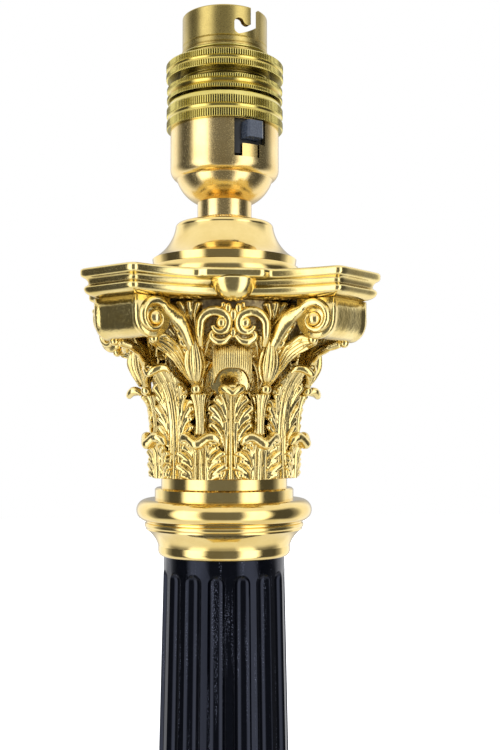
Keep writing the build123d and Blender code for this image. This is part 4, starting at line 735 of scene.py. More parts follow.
def knurled_ring(name, section, teeth, body, node, finish):
    """A ring from its section: (radius, level, knurled) with the corners in order round the section."""
    rows, painted_shades = [], []
    for share, height in zip(TOOTH_SHARES, TOOTH_SHAPE):
        a = 2 * pi / teeth * share
        for radius, level, knurled in section:
            r = radius - TOOTH_HEIGHT * (1 - height) if knurled else radius
            rows.append((r * sin(a), -r * cos(a), level))
            painted_shades.append(GROOVE_SHADE * (1 - height) if knurled else VALLEY_SHADE * (radius < VALLEY_RADIUS))
    faces = sheet_faces(len(TOOTH_SHARES), len(section), closed=True)
    mesh = mesh_of(name, rows, faces, painted_shades, soft=False)
    ring = wheeled(name, mesh, teeth, 0.0, finish, weld=0.002)
    settle(ring, body, (node,))


print("a tooth is", TOOTH_HEIGHT, "mm high")

# %% Four rings
RING_TEETH, WASHER_TEETH = 160, 64
clamp_section = [
    (17.05, 450.55, 0), (18.3, 450.55, 0), (18.6, 450.85, 1), (18.6, 452.95, 1), (18.2, 453.25, 0),
    (18.05, 453.9, 0), (18.2, 454.55, 0), (18.6, 454.85, 1), (18.6, 457.05, 1), (18.35, 457.4, 0),
    (17.8, 458.72, 0), (14.15, 458.72, 0), (14.15, 457.62, 0), (17.05, 457.62, 0),
]
lower_section = [
    (14.55, 459.62, 0), (18.2, 459.62, 0), (18.5, 459.85, 1), (18.5, 460.7, 1), (17.9, 461.1, 0),
    (17.5, 461.8, 0), (17.9, 462.5, 0), (18.5, 462.9, 1), (18.5, 463.75, 1), (18.2, 463.98, 0),
    (14.55, 463.98, 0),
]
upper_section = [
    (14.55, 466.52, 0), (18.3, 466.52, 0), (18.75, 466.85, 1), (18.75, 468.2, 1), (18.3, 468.5, 0),
    (18.15, 468.95, 0), (18.3, 469.4, 0), (18.75, 469.7, 1), (18.75, 471.25, 1), (18.45, 471.55, 0),
    (17.95, 471.88, 0), (14.55, 471.88, 0),
]
washer_section = [
    (5.1, 420.72, 0), (8.6, 420.72, 0), (8.9, 420.95, 1), (8.9, 422.05, 1), (8.6, 422.28, 0),
    (5.1, 422.28, 0),
]
for name, section, body in (
    ("clamp_ring", clamp_section, "lamp"), ("lower_shade_ring", lower_section, "lower_ring"),
    ("upper_shade_ring", upper_section, "upper_ring"),
):
    knurled_ring(name + "_knurled", section, RING_TEETH, body, name, ring_brass)
knurled_ring("neck_washer_knurled", washer_section, WASHER_TEETH, "lamp", "neck_washer", spun_brass)

# %% [markdown]
# ## The skirt's thread
#
# The shade rings climb a rolled thread on the barrel's skirt, which shows between them. It is one
# sleeve whose radius follows a wave: the wave's phase moves up by one pitch for each turn.

# %% Thread
THREAD_PITCH = 1.5
THREAD_TOP, THREAD_FOOT = 475.1, 458.9
THREAD_ROOT, THREAD_DEPTH = 13.9, 0.5
SKIRT_BORE = 13.2
THREAD_COLUMNS = 96
level = np.arange(THREAD_TOP, THREAD_FOOT - 0.05, -THREAD_PITCH / 8)[:, None]
turn = np.linspace(0, 2 * pi, THREAD_COLUMNS, endpoint=False)[None, :]
wave = 0.5 - 0.5 * np.cos(2 * pi * level / THREAD_PITCH - turn)
fade = smooth(THREAD_TOP, THREAD_TOP - 0.6, level) * smooth(THREAD_FOOT, THREAD_FOOT + 0.5, level)
crest = THREAD_ROOT + THREAD_DEPTH * wave * fade
inner = np.full((1, THREAD_COLUMNS), SKIRT_BORE)
radius = np.vstack([inner, crest, inner])
level = np.vstack([level[:1], level, level[-1:]]) + 0 * radius
points, faces = ringed(np.stack([radius * np.cos(turn), radius * np.sin(turn), level], axis=-1))
# Painted shade: the thread is darkened all over, and most in its roots.
thread_painted_shade = np.vstack([0 * inner, 0.25 + 0.65 * (1 - wave), 0 * inner])
thread = wheeled("skirt_thread", mesh_of("thread", points, faces, thread_painted_shade), 1, 0.0, ring_brass)
settle(thread, "lamp")

# %% [markdown]
# ## Plunger springs
#
# Each contact plunger stands on a small coil of drawn steel wire. The fixed frame keeps only the
# sleeve that the coil fills. Here a second Geometry Nodes tree sweeps a round wire along a spiral.
# The plunger sinks 4 mm into a coil of 6.7 mm, so there is room for only a few thin turns.

# %% The coil tree
coil_tree, coil_inputs, given = shape_tree("wire_coil", (
    ("Foot", "NodeSocketVector"), ("Turns", "NodeSocketFloat"), ("Coil radius", "NodeSocketFloat"),
    ("Wire radius", "NodeSocketFloat"), ("Length", "NodeSocketFloat"), ("Finish", "NodeSocketMaterial"),
))
spiral = add(coil_tree, "GeometryNodeCurveSpiral", inputs={
    "Resolution": 32, "Rotations": given["Turns"], "Start Radius": given["Coil radius"],
    "End Radius": given["Coil radius"], "Height": given["Length"]})
placed = add(coil_tree, "GeometryNodeTransform", inputs={
    "Geometry": spiral.outputs[0], "Translation": given["Foot"]})
wire = add(coil_tree, "GeometryNodeCurvePrimitiveCircle", inputs={
    "Resolution": 10, "Radius": given["Wire radius"]})
swept = add(coil_tree, "GeometryNodeCurveToMesh", inputs={
    "Curve": placed.outputs[0], "Profile Curve": wire.outputs[0], "Fill Caps": True})
dressed = add(coil_tree, "GeometryNodeSetMaterial", inputs={
    "Geometry": swept.outputs[0], "Material": given["Finish"]})
add(coil_tree, "NodeGroupOutput", inputs={"Geometry": dressed.outputs[0]})
print("inputs of the coil:", list(coil_inputs))

# %% Two coils
COIL_RADIUS, WIRE_RADIUS, COIL_TURNS = 2.22, 0.25, 3.5
END_ROOM = 1.05 * WIRE_RADIUS
for side in ("live", "neutral"):
    sleeve = nodes[side + "_spring"]
    low = [min(corner[axis] for corner in sleeve.bound_box) for axis in range(3)]
    high = [max(corner[axis] for corner in sleeve.bound_box) for axis in range(3)]
    middle = [(low[axis] + high[axis]) / 2 for axis in range(2)]
    seat = low[2] + END_ROOM * MM
    length = high[2] - low[2] - 2 * END_ROOM * MM
    coil = grown(side + "_coil", bpy.data.meshes.new(side + "_coil_seed"), coil_tree, {
        coil_inputs["Foot"]: (*middle, seat), coil_inputs["Turns"]: COIL_TURNS,
        coil_inputs["Coil radius"]: COIL_RADIUS * MM, coil_inputs["Wire radius"]: WIRE_RADIUS * MM,
        coil_inputs["Length"]: length, coil_inputs["Finish"]: spring_steel})
    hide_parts(side + "_spring")
    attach(coil, "lamp")
    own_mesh(coil)

# %% [markdown]
# ## Acanthus leaves
#
# A leaf is a band that follows a spine: up the bell, then out and over at the tip. Its relief is
# carved with strokes, as a carver does with a gouge: a midrib, pipes down to the foot, and fans
# of round-backed leaflets that spread from the pipes. Its edge is cut where each fan ends. Both are
# drawn for one half and mirrored. The band gets a back and becomes a closed shell.

# %% The leaf rule
LEAF_COLUMNS = 57
LEAF_WALL = 0.9
# Painted shade: a leaf is darker where its relief is low, less so near its tip, and on its back.
LEAF_SHADE, BACK_SHADE = 0.3, 0.15


def leaf(spine, edge, strokes, rows):
    """A leaf at the front. The spine is (radius, level), the edge (run, half-width), runs in mm."""
    radius, level = along(spine, np.linspace(0, 1, rows)).T
    slope = np.gradient(np.stack([radius, level], axis=-1), axis=0)
    slope /= np.linalg.norm(slope, axis=1)[:, None]
    out_r, out_z = slope[:, 1:], -slope[:, :1]
    run = np.concatenate([[0], np.cumsum(np.hypot(np.diff(radius), np.diff(level)))])
    edge = np.array(edge)
    half = np.interp(run * edge[-1, 0] / run[-1], edge[:, 0], edge[:, 1])[:, None]
    x = half * np.linspace(-1, 1, LEAF_COLUMNS)[None, :]
    s = (run * edge[-1, 0] / run[-1])[:, None] + 0 * x
    relief = carve(np.abs(x), s, strokes)
    radius, level = radius[:, None], level[:, None]
    angle = x / radius
    front = on_round(radius + out_r * relief, angle, level + out_z * relief)
    back = on_round(radius - out_r * LEAF_WALL, 0.95 * angle, level - out_z * LEAF_WALL)
    points, faces = shell(front, back)
    painted_shade = LEAF_SHADE * (1 - smooth(0.02, 0.35, relief)) * smooth(1.0, 0.86, s / s[-1, 0])
    return points, faces, np.concatenate([painted_shade.ravel(), np.full(x.size, BACK_SHADE)])


def lip(stations, radii):
    """The rolled rim of a leaf's tip: a bar through (x, radius, level) on the right, then mirrored."""
    right = [(x, -sqrt(rho**2 - x**2), z) for x, rho, z in stations]
    left = [(-x, y, z) for x, y, z in right[:0:-1]]
    share = np.linspace(0, 1, 60)
    path = along(left + right, share)
    return tube(path, np.interp(np.abs(2 * share - 1), np.linspace(0, 1, len(radii)), radii), sides=20)


print("a leaf has", LEAF_COLUMNS, "points across")

# %% Eight lower leaves
lower_spine = [
    (22.3, 340.5), (22.6, 344.0), (22.8, 346.5), (23.3, 349.0), (24.5, 351.0), (25.4, 351.9),
]
lower_edge = [
    (0.0, 7.4), (1.2, 8.5), (4.2, 8.6), (4.9, 7.0), (5.8, 7.8), (8.2, 8.3), (9.6, 7.4), (10.3, 6.1),
    (11.2, 6.0), (12.4, 5.4), (13.2, 4.4), (13.8, 3.2),
]
lower_strokes = (
    [(0.0, -1.0, 0.0, 12.0, 0.8, 0.6, 1.3, 0.9)]
    + bent([(1.8, -1.0), (1.7, 6.0), (2.0, 12.5)], (0.75, 0.5), (1.05, 0.6))
    + fan((2.7, -0.8), [(5.6, 1.6), (7.2, 4.4)], (0.6, 1.45), (0.4, 1.7))
    + fan((2.5, 3.2), [(5.4, 6.2), (6.8, 9.0)], (0.5, 1.3), (0.4, 1.5))
    + fan((2.2, 6.8), [(5.2, 11.0), (3.4, 12.2)], (0.4, 1.0), (0.3, 1.0))
)
lower_lip = [
    (0.0, 26.3, 351.0), (1.3, 26.1, 351.7), (2.8, 25.6, 352.8), (4.2, 25.0, 353.0), (5.4, 24.4, 352.1),
    (6.0, 23.8, 350.7),
]
carved("lower_leaves", [
    leaf(lower_spine, lower_edge, lower_strokes, 80),
    lip(lower_lip, (1.75, 1.5, 1.45, 1.6, 1.35, 0.6)),
    ball((0.0, -25.2, 351.3), 2.3, 0.8, 0.8),
    ball((4.1, -23.9, 352.1), 2.2, 0.7, 0.75),
    ball((-4.1, -23.9, 352.1), 2.2, 0.7, 0.75),
], 8, 22.5)

# %% Four leaves on the faces
face_spine = [
    (22.6, 340.6), (22.4, 343.0), (22.5, 350.0), (22.9, 358.0), (23.7, 362.5), (25.2, 365.6), (27.2, 367.4),
    (28.6, 367.6),
]
face_edge = [
    (0.0, 3.9), (1.6, 2.9), (4.0, 2.4), (11.0, 2.3), (11.8, 3.9), (13.0, 5.2), (15.4, 6.3), (17.0, 6.4),
    (17.5, 4.9), (18.4, 6.1), (20.4, 6.9), (22.2, 6.4), (22.8, 4.8), (24.0, 5.4), (25.4, 4.6), (26.6, 3.4),
    (28.6, 2.9), (30.2, 2.6),
]
face_strokes = (
    [(0.0, -1.0, 0.0, 27.0, 0.8, 0.5, 1.2, 0.6)]
    + bent([(3.4, -1.0), (1.7, 3.0), (1.5, 10.0), (1.8, 17.0)], (0.8, 0.5), (1.1, 0.6))
    + bent([(1.2, 8.0), (1.1, 16.0), (1.5, 23.0)], (0.35, 0.4), (0.7, 0.5))
    + fan((1.9, 9.5), [(4.5, 13.0), (5.5, 16.2)], (0.5, 1.25), (0.3, 1.6))
    + fan((1.8, 14.0), [(5.2, 18.8), (5.9, 21.6)], (0.5, 1.25), (0.3, 1.6))
    + fan((1.4, 18.5), [(4.6, 24.4), (3.2, 26.2)], (0.4, 1.05), (0.3, 1.2))
)
face_tip = [
    (0.0, 29.9, 365.9), (1.1, 29.5, 366.6), (2.3, 28.7, 367.3), (3.1, 27.6, 367.2), (3.5, 26.6, 366.3),
]
carved("face_leaves", [
    leaf(face_spine, face_edge, face_strokes, 140),
    lip(face_tip, (1.0, 1.25, 1.3, 1.0, 0.5)),
    ball((0.0, -28.2, 367.3), 2.7, 0.75, 0.55),
], 4, 0.0)

# %% Four leaves under the corners
corner_spine = [
    (22.4, 340.6), (22.4, 350.0), (23.0, 358.0), (24.4, 364.5), (26.6, 369.0), (29.2, 372.2), (31.4, 373.6),
    (32.8, 373.4),
]
corner_edge = [
    (0.0, 3.6), (2.0, 2.7), (9.8, 2.5), (10.8, 4.4), (13.4, 6.2), (16.4, 7.3), (17.2, 5.8), (18.4, 7.0),
    (21.6, 7.9), (24.0, 7.2), (24.7, 5.6), (26.0, 6.5), (28.8, 6.1), (30.4, 4.9), (32.4, 4.0),
    (36.0, 3.6), (38.4, 2.8),
]
corner_strokes = (
    [(0.0, -1.0, 0.0, 38.0, 0.8, 0.6, 1.3, 0.5)]
    + bent([(3.0, -1.0), (1.7, 4.0), (1.6, 18.0), (2.4, 34.0)], (0.8, 0.55), (1.1, 0.4), 8)
    + bent([(1.0, 6.0), (1.0, 18.0), (1.2, 30.0)], (0.35, 0.4), (0.7, 0.3))
    + bent([(2.4, 12.0), (2.8, 22.0), (3.6, 32.0)], (0.4, 0.5), (0.7, 0.5))
    + fan((2.1, 7.5), [(5.0, 12.4), (6.3, 15.6)], (0.5, 1.3), (0.3, 1.7))
    + fan((2.4, 12.5), [(5.8, 18.4), (6.9, 21.8)], (0.5, 1.3), (0.3, 1.7))
    + fan((2.8, 18.5), [(5.5, 25.6), (5.2, 28.8)], (0.5, 1.2), (0.3, 1.5))
)
corner_tip = [
    (0.0, 34.0, 371.6), (1.2, 33.6, 372.4), (2.6, 32.6, 373.3), (3.7, 31.2, 373.2), (4.2, 29.9, 372.0),
]
carved("corner_leaves", [
    leaf(corner_spine, corner_edge, corner_strokes, 165),
    lip(corner_tip, (1.0, 1.25, 1.3, 1.0, 0.5)),
    ball((0.0, -32.2, 373.3), 2.6, 0.8, 0.5),
], 4, 45.0)

# %% [markdown]
# ## Corner scrolls
#
# From each stalk two ribbons climb to the corner. The upper one goes over the scroll's eye
# and winds in. The lower one is the leaf that carries the scroll from below, and ends in a knob.
# Across the horn the scroll is one broad polished band, which runs straight up to the abacus.


# %% Sweeping a section
def ribbon(path, outer_side, halves, thick, section, back=1.4):
    """A closed ribbed ribbon along a path, with its ribs roughly towards outer_side."""
    across, face = frame_of(path, outer_side)
    t = np.linspace(-1, 1, len(section))
    width = across[:, None, :] * (halves[:, None] * t[None, :])[..., None]
    lift = face[:, None, :] * (thick[:, None] * np.asarray(section)[None, :])[..., None]
    front = path[:, None, :] + width + lift
    rear = path[:, None, :] + 0.85 * width - face[:, None, :] * (back * thick)[:, None, None]
    points, faces = shell(front, rear)
    # Painted shade: the low parts between the ribs are darkened, and the back a little.
    dark = 0.35 * (np.asarray(section) < 0.35)
    return points, faces, np.concatenate([np.tile(dark, len(path)), np.full(len(path) * len(t), 0.2)])


def feathered(part, path_count, step, depth):
    """Cuts slanting leaflets into a ribbon's front by pulling it back at every step of the path."""
    points, faces, painted_shade = part
    section_count = len(points) // (2 * path_count)
    front = points[:path_count * section_count].reshape(path_count, section_count, 3)
    rear = points[path_count * section_count:].reshape(path_count, section_count, 3)
    t = np.abs(np.linspace(-1, 1, section_count))[None, :]
    wave = np.abs(np.cos(pi * (np.arange(path_count)[:, None] / step - 0.8 * t)))
    cut = depth * (1 - wave**0.6) * smooth(0.12, 0.5, t)
    thick = np.linalg.norm(front - rear, axis=2)[..., None]
    front += (rear - front) / thick * cut[..., None]
    return points, faces, painted_shade


def ribbed(ridges, count=21):
    """A ribbon's section: round ridges on a soft crown."""
    t = np.linspace(-1, 1, count)
    return 0.75 * np.abs(np.cos(0.5 * pi * ridges * t)) ** 0.7 + 0.35 * (1 - t**4)


print("a section with one ridge is", round(float(ribbed(1).max()), 2), "times its thickness high")

# %% The climbing ribbon and its spray
VOLUTE_CENTRE = (42.0, 386.9)
VOLUTE_HALF = 9.5
VOLUTE_SPLAY = 8.0
SCROLL_SIDE = (cos(radians(VOLUTE_SPLAY)), sin(radians(-VOLUTE_SPLAY)), 0.0)
CLIMB_STATIONS, SPRAY_STATIONS = 120, 72


def on_side(rho, z, lift):
    """A point on the upright plane of a scroll's right side, from its distance out and its level."""
    offset = VOLUTE_HALF - (rho - VOLUTE_CENTRE[0]) * np.tan(radians(VOLUTE_SPLAY))
    blend = smooth(24.5, 34.0, rho)
    x = rho * np.tan(radians(21.0)) * (1 - blend) + offset * blend + lift
    return np.stack([x, -rho, z], axis=-1)


def scroll_ribbon():
    """The ribbon that climbs from the stalk and winds into the eye."""
    turns = np.linspace(0, 1, 60)
    a = np.radians(150 - 430 * turns)
    r = 4.3 * (1 - turns) ** 0.7 + 0.8
    spiral = np.stack([VOLUTE_CENTRE[0] + r * np.cos(a), VOLUTE_CENTRE[1] + r * np.sin(a)], axis=-1)
    stem = [(26.6, 377.0), (28.0, 380.0), (30.2, 383.8), (33.4, 387.6)]
    length = np.linspace(0, 1, CLIMB_STATIONS)
    rho, z = along(stem + spiral[1:].tolist(), length).T
    halves = np.interp(length, [0, 0.12, 0.3, 0.42, 0.7, 1.0], [1.2, 2.3, 2.6, 1.6, 1.25, 0.6])
    thick = np.interp(length, [0, 0.3, 0.5, 1.0], [1.0, 1.0, 1.5, 1.1])
    return ribbon(on_side(rho, z, 0.2), SCROLL_SIDE, halves, thick, ribbed(1))


def scroll_spray():
    """Leaflets that lie along the upper side of the climbing ribbon."""
    stations = [(26.2, 376.0), (28.4, 381.5), (32.0, 386.6), (36.5, 390.4)]
    length = np.linspace(0, 1, SPRAY_STATIONS)
    rho, z = along(stations, length).T
    halves = np.interp(length, [0, 0.3, 0.7, 1.0], [1.5, 3.2, 3.0, 1.2])
    thick = np.full(SPRAY_STATIONS, 1.2)
    spray = ribbon(on_side(rho, z, -1.2), SCROLL_SIDE, halves, thick, ribbed(3))
    return feathered(spray, SPRAY_STATIONS, 12, 0.9)


print("the scrolls' eyes stand", VOLUTE_CENTRE[0], "mm out, at level", VOLUTE_CENTRE[1])

# %% The carrying leaf and the polished band
CARRY_STATIONS = 50
DRUM_RADIUS, DRUM_HALF = 5.8, VOLUTE_HALF + 0.3
DRUM_ROWS = 25


def carrying_leaf():
    """The ribbed leaf under a scroll, on its right side, out to its knob."""
    stations = [
        (24.6, 367.6, 9.9), (25.6, 370.0, 9.2), (27.2, 373.4, 7.6), (30.5, 377.8, 7.0), (35.5, 380.6, 6.8),
        (40.0, 381.3, 6.6),
    ]
    length = np.linspace(0, 1, CARRY_STATIONS)
    path = along([(x, -rho, z) for rho, z, x in stations], length)
    halves = np.interp(length, [0, 0.3, 0.6, 0.85, 1.0], [0.6, 1.4, 2.7, 2.9, 1.4])
    thick = np.full(CARRY_STATIONS, 1.2)
    leaf_under = ribbon(path, (0.55, -0.55, -0.62), halves, thick, ribbed(5, 27), back=1.0)
    return feathered(leaf_under, CARRY_STATIONS, 10, 0.35)


def drum():
    """The broad polished band of a corner scroll: round below and in front, straight above."""
    arc = np.radians(np.linspace(-178, 0, 30))
    rho = list(VOLUTE_CENTRE[0] + DRUM_RADIUS * np.cos(arc)) + [VOLUTE_CENTRE[0] + DRUM_RADIUS + 0.15] * 2
    z = list(VOLUTE_CENTRE[1] + DRUM_RADIUS * np.sin(arc)) + [389.0, 392.9]
    rho += [VOLUTE_CENTRE[0] - DRUM_RADIUS]
    z += [392.9]
    rho, z = np.array(rho), np.array(z)
    rows = []
    for t in np.linspace(-1, 1, DRUM_ROWS):
        rim = 0.35 * smooth(0.9, 1.0, abs(t)) + 0.3 * (1 - smooth(0.72, 0.84, abs(t)))
        aside = rho - VOLUTE_CENTRE[0]
        inward = rho - rim * np.sign(aside) * np.minimum(np.abs(aside) / DRUM_RADIUS, 1)
        up = np.where(z < VOLUTE_CENTRE[1], z + rim * (VOLUTE_CENTRE[1] - z) / DRUM_RADIUS, z)
        x = t * (DRUM_HALF - aside * np.tan(radians(VOLUTE_SPLAY)))
        rows.append(np.stack([x, -inward, up], axis=-1))
    return np.array(rows).reshape(-1, 3), capped(DRUM_ROWS, len(rho), flip=True), 0.0


print("the band is", 2 * DRUM_HALF, "mm broad")

# %% The scroll under a horn
knob = ball((8.0, -40.2, 381.2), 1.5)
eye = ball((DRUM_HALF, -VOLUTE_CENTRE[0], VOLUTE_CENTRE[1]), 2.2)
one_side = [scroll_ribbon(), scroll_spray(), carrying_leaf(), knob, eye]
carved("corner_volutes", one_side + [mirrored(part) for part in one_side] + [drum()], 4, 45.0)

# %% [markdown]
# ## Small scrolls, stalks and cups
#
# In the middle of each face two small scrolls curl round a bead, with a bud between them. Between
# two upper leaves a fluted stalk climbs to a bead, and out of it grows a lozenge bud. A cup with
# fine ribs and a frilled rim sits over the face leaf, open underneath in a low arch.


# %% Small scrolls
def helix():
    """The inner stem on the right, from its stalk up to its ring."""
    share = np.linspace(0, 1, 34)
    a = np.radians(5 + 330 * share)
    r = 4.2 - 2.1 * share
    x, y, z = 5.3 + r * np.cos(a) - 1.2 * share, -31.0 - 0.6 * share, 385.6 + r * np.sin(a) + 0.5 * share
    loop = np.stack([x, y, z], axis=-1)
    stem = [(9.2, -28.4, 379.6), (9.4, -29.4, 381.2), (9.6, -30.4, 383.0)]
    path = along(stem + loop.tolist(), np.linspace(0, 1, 100))
    return tube(path, np.interp(np.linspace(0, 1, 100), [0, 0.2, 0.55, 0.8, 1.0], [0.8, 1.4, 1.7, 1.4, 0.6]))


def curl():
    """The small upturned curl under a ring."""
    stations = [
        (0.8, -31.0, 382.4), (2.3, -31.3, 380.9), (4.4, -31.2, 380.6), (6.2, -30.6, 381.8),
        (6.0, -30.5, 383.3), (4.9, -30.8, 383.2),
    ]
    path = along(stations, np.linspace(0, 1, 40))
    return tube(path, np.interp(np.linspace(0, 1, 40), [0, 0.4, 0.8, 1.0], [0.7, 1.1, 1.0, 0.6]))


half_motif = [
    helix(),
    ball((3.5, -31.4, 386.1), 1.75),
    curl(),
    ball((1.5, -31.6, 390.3), 1.05, 0.8, 1.5),
    ball((2.8, -31.0, 391.2), 0.8, 0.8, 1.3),
]
middle_buds = [ball((0.0, -31.5, 388.4), 1.2, 0.8, 1.6), ball((0.0, -30.8, 383.4), 1.0, 0.8, 1.6)]
carved("inner_helices", half_motif + [mirrored(part) for part in half_motif] + middle_buds, 4, 0.0)


# %% Stalk, bead and bud
FORM_ROWS, FORM_SIDES = 30, 40


def turned_form(profile, centre_r, lean, ribs, depth):
    """An upright turned form with ribs, leaning outwards, from (radius, level) pairs."""
    girth, level = along(profile, np.linspace(0, 1, FORM_ROWS)).T
    a = np.linspace(0, 2 * pi, FORM_SIDES, endpoint=False)
    r = girth[:, None] * (1 + depth * np.cos(ribs * a)[None, :])
    y = -(centre_r + lean * (level - level[0]))[:, None] - r * np.cos(a)
    grid = np.stack([r * np.sin(a), y, level[:, None] + 0 * r], axis=-1)
    faces = capped(FORM_ROWS, FORM_SIDES, flip=True)
    # Painted shade in the grooves between the ribs.
    return grid.reshape(-1, 3), faces, np.tile(0.3 * (np.cos(ribs * a) < -0.3), FORM_ROWS)


stalk_profile = [
    (1.6, 353.5), (1.3, 357.0), (1.6, 361.0), (2.1, 363.8), (2.7, 365.3), (1.9, 366.3), (1.0, 366.8),
]
bud_profile = [
    (0.3, 368.4), (1.7, 369.8), (2.8, 372.6), (3.0, 374.8), (2.3, 378.2), (1.2, 380.8), (0.3, 382.0),
]
carved("stalks_and_buds", [
    turned_form(stalk_profile, 22.6, 0.08, 7, 0.16),
    turned_form(bud_profile, 26.8, 0.22, 7, 0.15),
    ball((0.0, -26.7, 367.2), 1.7),
], 8, 22.5)


# %% Ribbed cup
CUP_COLUMNS, CUP_ROWS, CUP_RIBS = 171, 24, 19
CUP_RADIUS, CUP_HALF_ANGLE, CUP_WALL = 29.4, 11.5, 1.1
CUP_FOOT, CUP_RIM = 373.0, 379.2


def ribbed_cup():
    """The cup with fine ribs, a frill on top and an arched opening below."""
    u, v = np.linspace(-1, 1, CUP_COLUMNS)[None, :], np.linspace(0, 1, CUP_ROWS)[:, None]
    angle = radians(CUP_HALF_ANGLE) * u
    foot = CUP_FOOT - 4.2 * np.abs(u) ** 3
    rim = CUP_RIM + 0.7 * np.abs(np.cos(2.0 * pi * u))
    z = foot + (rim - foot) * v
    belly = CUP_RADIUS + 1.1 * np.sin(pi * v) - 2.0 * np.abs(u) ** 4
    groove = np.abs(np.sin(0.5 * CUP_RIBS * pi * u))
    r = belly + 0.28 * groove * smooth(0.0, 0.1, v)
    points, faces = shell(on_round(r, angle, z), on_round(r - CUP_WALL, 0.93 * angle, z))
    # Painted shade: the grooves between the ribs and the cup's inside are darkened.
    return points, faces, np.concatenate([(0.5 * (groove < 0.4) + 0 * v).ravel(), np.full(r.size, 0.2)])


carved("ribbed_cups", [ribbed_cup()], 4, 0.0)

# %% [markdown]
# ## The bell
#
# Behind all this stands the vase. It isn't left plain: sheaths of leaflets spread from each stalk
# to both sides, long veins run up between the leaves, and the ground is punched with a matting tool.
# All of it is one relief over an eighth of the round, mirrored. Under the abacus the bell is darkened as
# painted shade.

# %% Rows of the bell
BELL_COLUMNS = 151
BELL_GIRTH, BELL_BORE = 22.0, 16.0
bell_profile = [
    (20.9, 340.35), (21.6, 341.2), (21.3, 343.0), (20.6, 352.0), (20.8, 360.0), (21.6, 368.0), (23.8, 375.5),
    (27.2, 383.2), (30.4, 388.6), (31.0, 391.2), (31.0, 392.95),
]
bell_rows = []
for (r1, z1), (r2, z2) in zip(bell_profile, bell_profile[1:]):
    pieces = max(1, int(np.hypot(r2 - r1, z2 - z1) / 0.33))
    bell_rows += [(r1 + (r2 - r1) * k / pieces, z1 + (z2 - z1) * k / pieces) for k in range(pieces)]
bell_rows = np.array(bell_rows + [bell_profile[-1]])
azimuth = np.radians(np.linspace(-45, 45, BELL_COLUMNS))[None, :]
across = BELL_GIRTH * np.abs(azimuth)
level = bell_rows[:, 1:] + 0 * across
print("the bell has", len(bell_rows), "rows")

# %% Relief of the bell
MATTING = 0.07
stalk_foot = (8.6, 367.0)
top_fan = [(7.2, 391.5), (9.2, 392.0), (11.2, 392.0), (13.2, 391.5), (15.0, 390.2), (16.4, 388.4)]
outer_fan = [(10.2, 378.0), (11.9, 379.5), (12.6, 383.0), (14.2, 384.6), (15.4, 381.0), (13.6, 376.5)]
inner_fan = [(7.6, 377.0), (6.2, 379.0), (5.8, 375.0), (7.0, 382.5), (4.4, 383.5)]
sheath = (
    fan((8.8, 380.0), top_fan, (0.5, 0.85), (1.0, 1.7))
    + fan(stalk_foot, outer_fan, (0.6, 1.0), (1.4, 2.4))
    + fan(stalk_foot, inner_fan, (0.5, 0.9), (1.2, 2.2))
    + fan((8.6, 358.0), [(6.2, 363.0), (5.4, 366.0), (11.0, 363.0), (11.8, 366.0)], (0.5, 0.9), (0.8, 1.6))
    + fan((12.0, 340.0), [(11.0, 356.0), (12.6, 354.0), (13.6, 352.0)], (0.6, 0.8), (0.8, 1.2))
    + fan((4.6, 340.0), [(5.4, 356.0), (3.6, 354.0)], (0.6, 0.8), (0.8, 1.2))
)
relief = carve(across, level, sheath)
draw = np.random.default_rng(7)
punched = draw.normal(0.0, MATTING, relief.shape)
under_cup = smooth(6.0, 4.8, across) * smooth(364.0, 367.0, level) * smooth(377.0, 375.0, level)
matted = smooth(356.0, 362.0, level) * smooth(391.0, 389.0, level) * (relief < 0.2) * (under_cup < 0.5)
punched = (punched + punched[:, ::-1]) * matted
print("the relief stands out up to", round(float(relief.max()), 1), "mm")

# %% The bell as a closed quarter
grid = on_round(bell_rows[:, :1] + relief + punched, azimuth, level)
grid[-1, :, :2] *= (bell_profile[-1][0] / np.hypot(grid[-1, :, 0], grid[-1, :, 1]))[:, None]
low = on_round(BELL_BORE, azimuth[0], bell_profile[0][1])
high = on_round(BELL_BORE, azimuth[0], bell_profile[-1][1])
grid = np.concatenate([low[None], grid, high[None]])
faces = sheet_faces(len(grid), BELL_COLUMNS)
top = (len(grid) - 1) * BELL_COLUMNS
faces += [(top + k, top + k + 1, k + 1, k) for k in range(BELL_COLUMNS - 1)]
# Painted shade: darker towards the abacus, lighter just above the lower leaves, less on raised relief and
# none under the cups.
shade = 0.2 + 0.68 * smooth(379.0, 386.0, level)
shade -= 0.25 * smooth(350.0, 353.0, level) * smooth(363.0, 358.0, level)
shade *= (1 - 0.8 * smooth(0.3, 1.2, relief)) * (1 - under_cup)
painted_shade = np.concatenate([np.zeros(BELL_COLUMNS), shade.ravel(), np.zeros(BELL_COLUMNS)])
quarter = mesh_of("bell", grid.reshape(-1, 3), faces, painted_shade)
bell = wheeled("capital_bell", quarter, 4, 0.0, cast_brass, weld=0.002)
settle(bell, "lamp", ("capital_casting",))

# %% [markdown]
# ## The abacus
#
# The moulded plate on top is cast and then buffed, and buffing takes every edge off. Its outline has
# four hollow sides and four cut-off horns. Each level of the moulding is that outline moved in, with
# corners softened by averaging neighbours. A block stands out in the middle of each side, and
# a half-round boss hangs under it.

# %% Abacus outline
HALF_WIDTH, HORN_CHORD, MIDDLE = 44.8, 28.8, 33.5
BLOCK_HALF, BLOCK_REACH = 9.5, 36.8
SIDE_POINTS, HORN_POINTS = 131, 25
SOFTENING_ROUNDS = 9


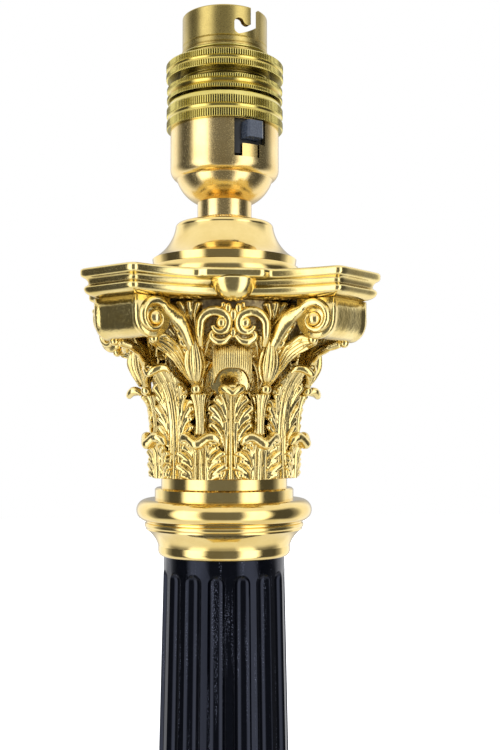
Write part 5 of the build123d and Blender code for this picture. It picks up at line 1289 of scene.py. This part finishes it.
def abacus_outline(inset, blocked):
    """A closed ring of points (x, y) of the plate, moved in by an inset, with or without its blocks."""
    sag = HALF_WIDTH - MIDDLE
    radius = (HORN_CHORD**2 + sag**2) / (2 * sag)
    centre = MIDDLE + radius
    cut = HALF_WIDTH + HORN_CHORD - inset * sqrt(2)
    reach = radius + inset
    out = (cut + centre - sqrt((cut + centre) ** 2 - 2 * (cut**2 + centre**2 - reach**2))) / 2
    chord = cut - out
    x = np.linspace(-chord, chord, SIDE_POINTS)
    y = centre - np.sqrt(reach**2 - x**2)
    if blocked:
        stands_out = smooth(BLOCK_HALF + 1.0, BLOCK_HALF - 1.2, np.abs(x))
        y = y + stands_out * np.maximum(BLOCK_REACH - inset - y, 0)
    side = np.stack([x, -y], axis=-1)
    horn = np.linspace((chord, -out), (out, -chord), HORN_POINTS)[1:-1]
    quarter = np.vstack([side, horn])
    ring = []
    for k in range(4):
        turn = np.array([[cos(k * pi / 2), -sin(k * pi / 2)], [sin(k * pi / 2), cos(k * pi / 2)]])
        ring.append(quarter @ turn.T)
    ring = np.vstack(ring)
    for _ in range(SOFTENING_ROUNDS):
        ring = 0.5 * ring + 0.25 * (np.roll(ring, 1, axis=0) + np.roll(ring, -1, axis=0))
    return ring


def at_level(outline, level):
    """A ring of points (x, y) lifted to a level."""
    return np.column_stack([outline, np.full(len(outline), level)])


print("points round the abacus:", len(abacus_outline(0.0, True)))

# %% Abacus
ROD_BORE = 5.4
# Painted shade in the cove of the moulding.
COVE_LEVELS, COVE_SHADE = (397.4, 396.9, 396.5), 0.25
moulding = [
    (3.0, 401.5, 1), (0.9, 401.47, 1), (0.35, 401.3, 1), (0.08, 401.0, 1), (0.0, 400.5, 1), (0.05, 399.6, 1),
    (0.25, 399.1, 1), (0.7, 398.75, 1), (1.1, 398.5, 0), (1.5, 398.0, 0), (1.75, 397.4, 0), (1.75, 396.9, 0),
    (1.45, 396.5, 0), (1.05, 396.2, 0), (0.8, 395.7, 0), (0.85, 395.1, 0), (1.2, 394.4, 0), (1.9, 393.8, 0),
    (2.8, 393.35, 0), (3.6, 393.1, 0), (4.2, 393.0, 0),
]
rings = [at_level(abacus_outline(inset, blocked), level) for inset, level, blocked in moulding]
spin = np.arctan2(rings[0][:, 1], rings[0][:, 0])
bore = np.column_stack([ROD_BORE * np.cos(spin), ROD_BORE * np.sin(spin)])
rings = [at_level(bore, moulding[0][1])] + rings + [at_level(bore, moulding[-1][1])]
plate_points, plate_faces = ringed(np.array(rings))
plate_painted_shade = COVE_SHADE * np.isin(np.round(plate_points[:, 2], 1), COVE_LEVELS)
boss_points, boss_faces, _ = ball((0.0, -32.0, 398.8), 6.7, 0.78, top=pi / 2, rows=22, columns=64)
bosses = [(boss_points @ np.array([[cos(a), sin(a), 0], [-sin(a), cos(a), 0], [0, 0, 1]]), boss_faces, 0.0)
          for a in (0, pi / 2, pi, 3 * pi / 2)]
points, faces, painted_shade = joined([(plate_points, plate_faces, plate_painted_shade)] + bosses)
abacus = wheeled("abacus_moulded", mesh_of("abacus_plate", points, faces, painted_shade), 1, 0.0, abacus_brass)
settle(abacus, "lamp", ("abacus_casting",))

# %% Close
print("end of the script")
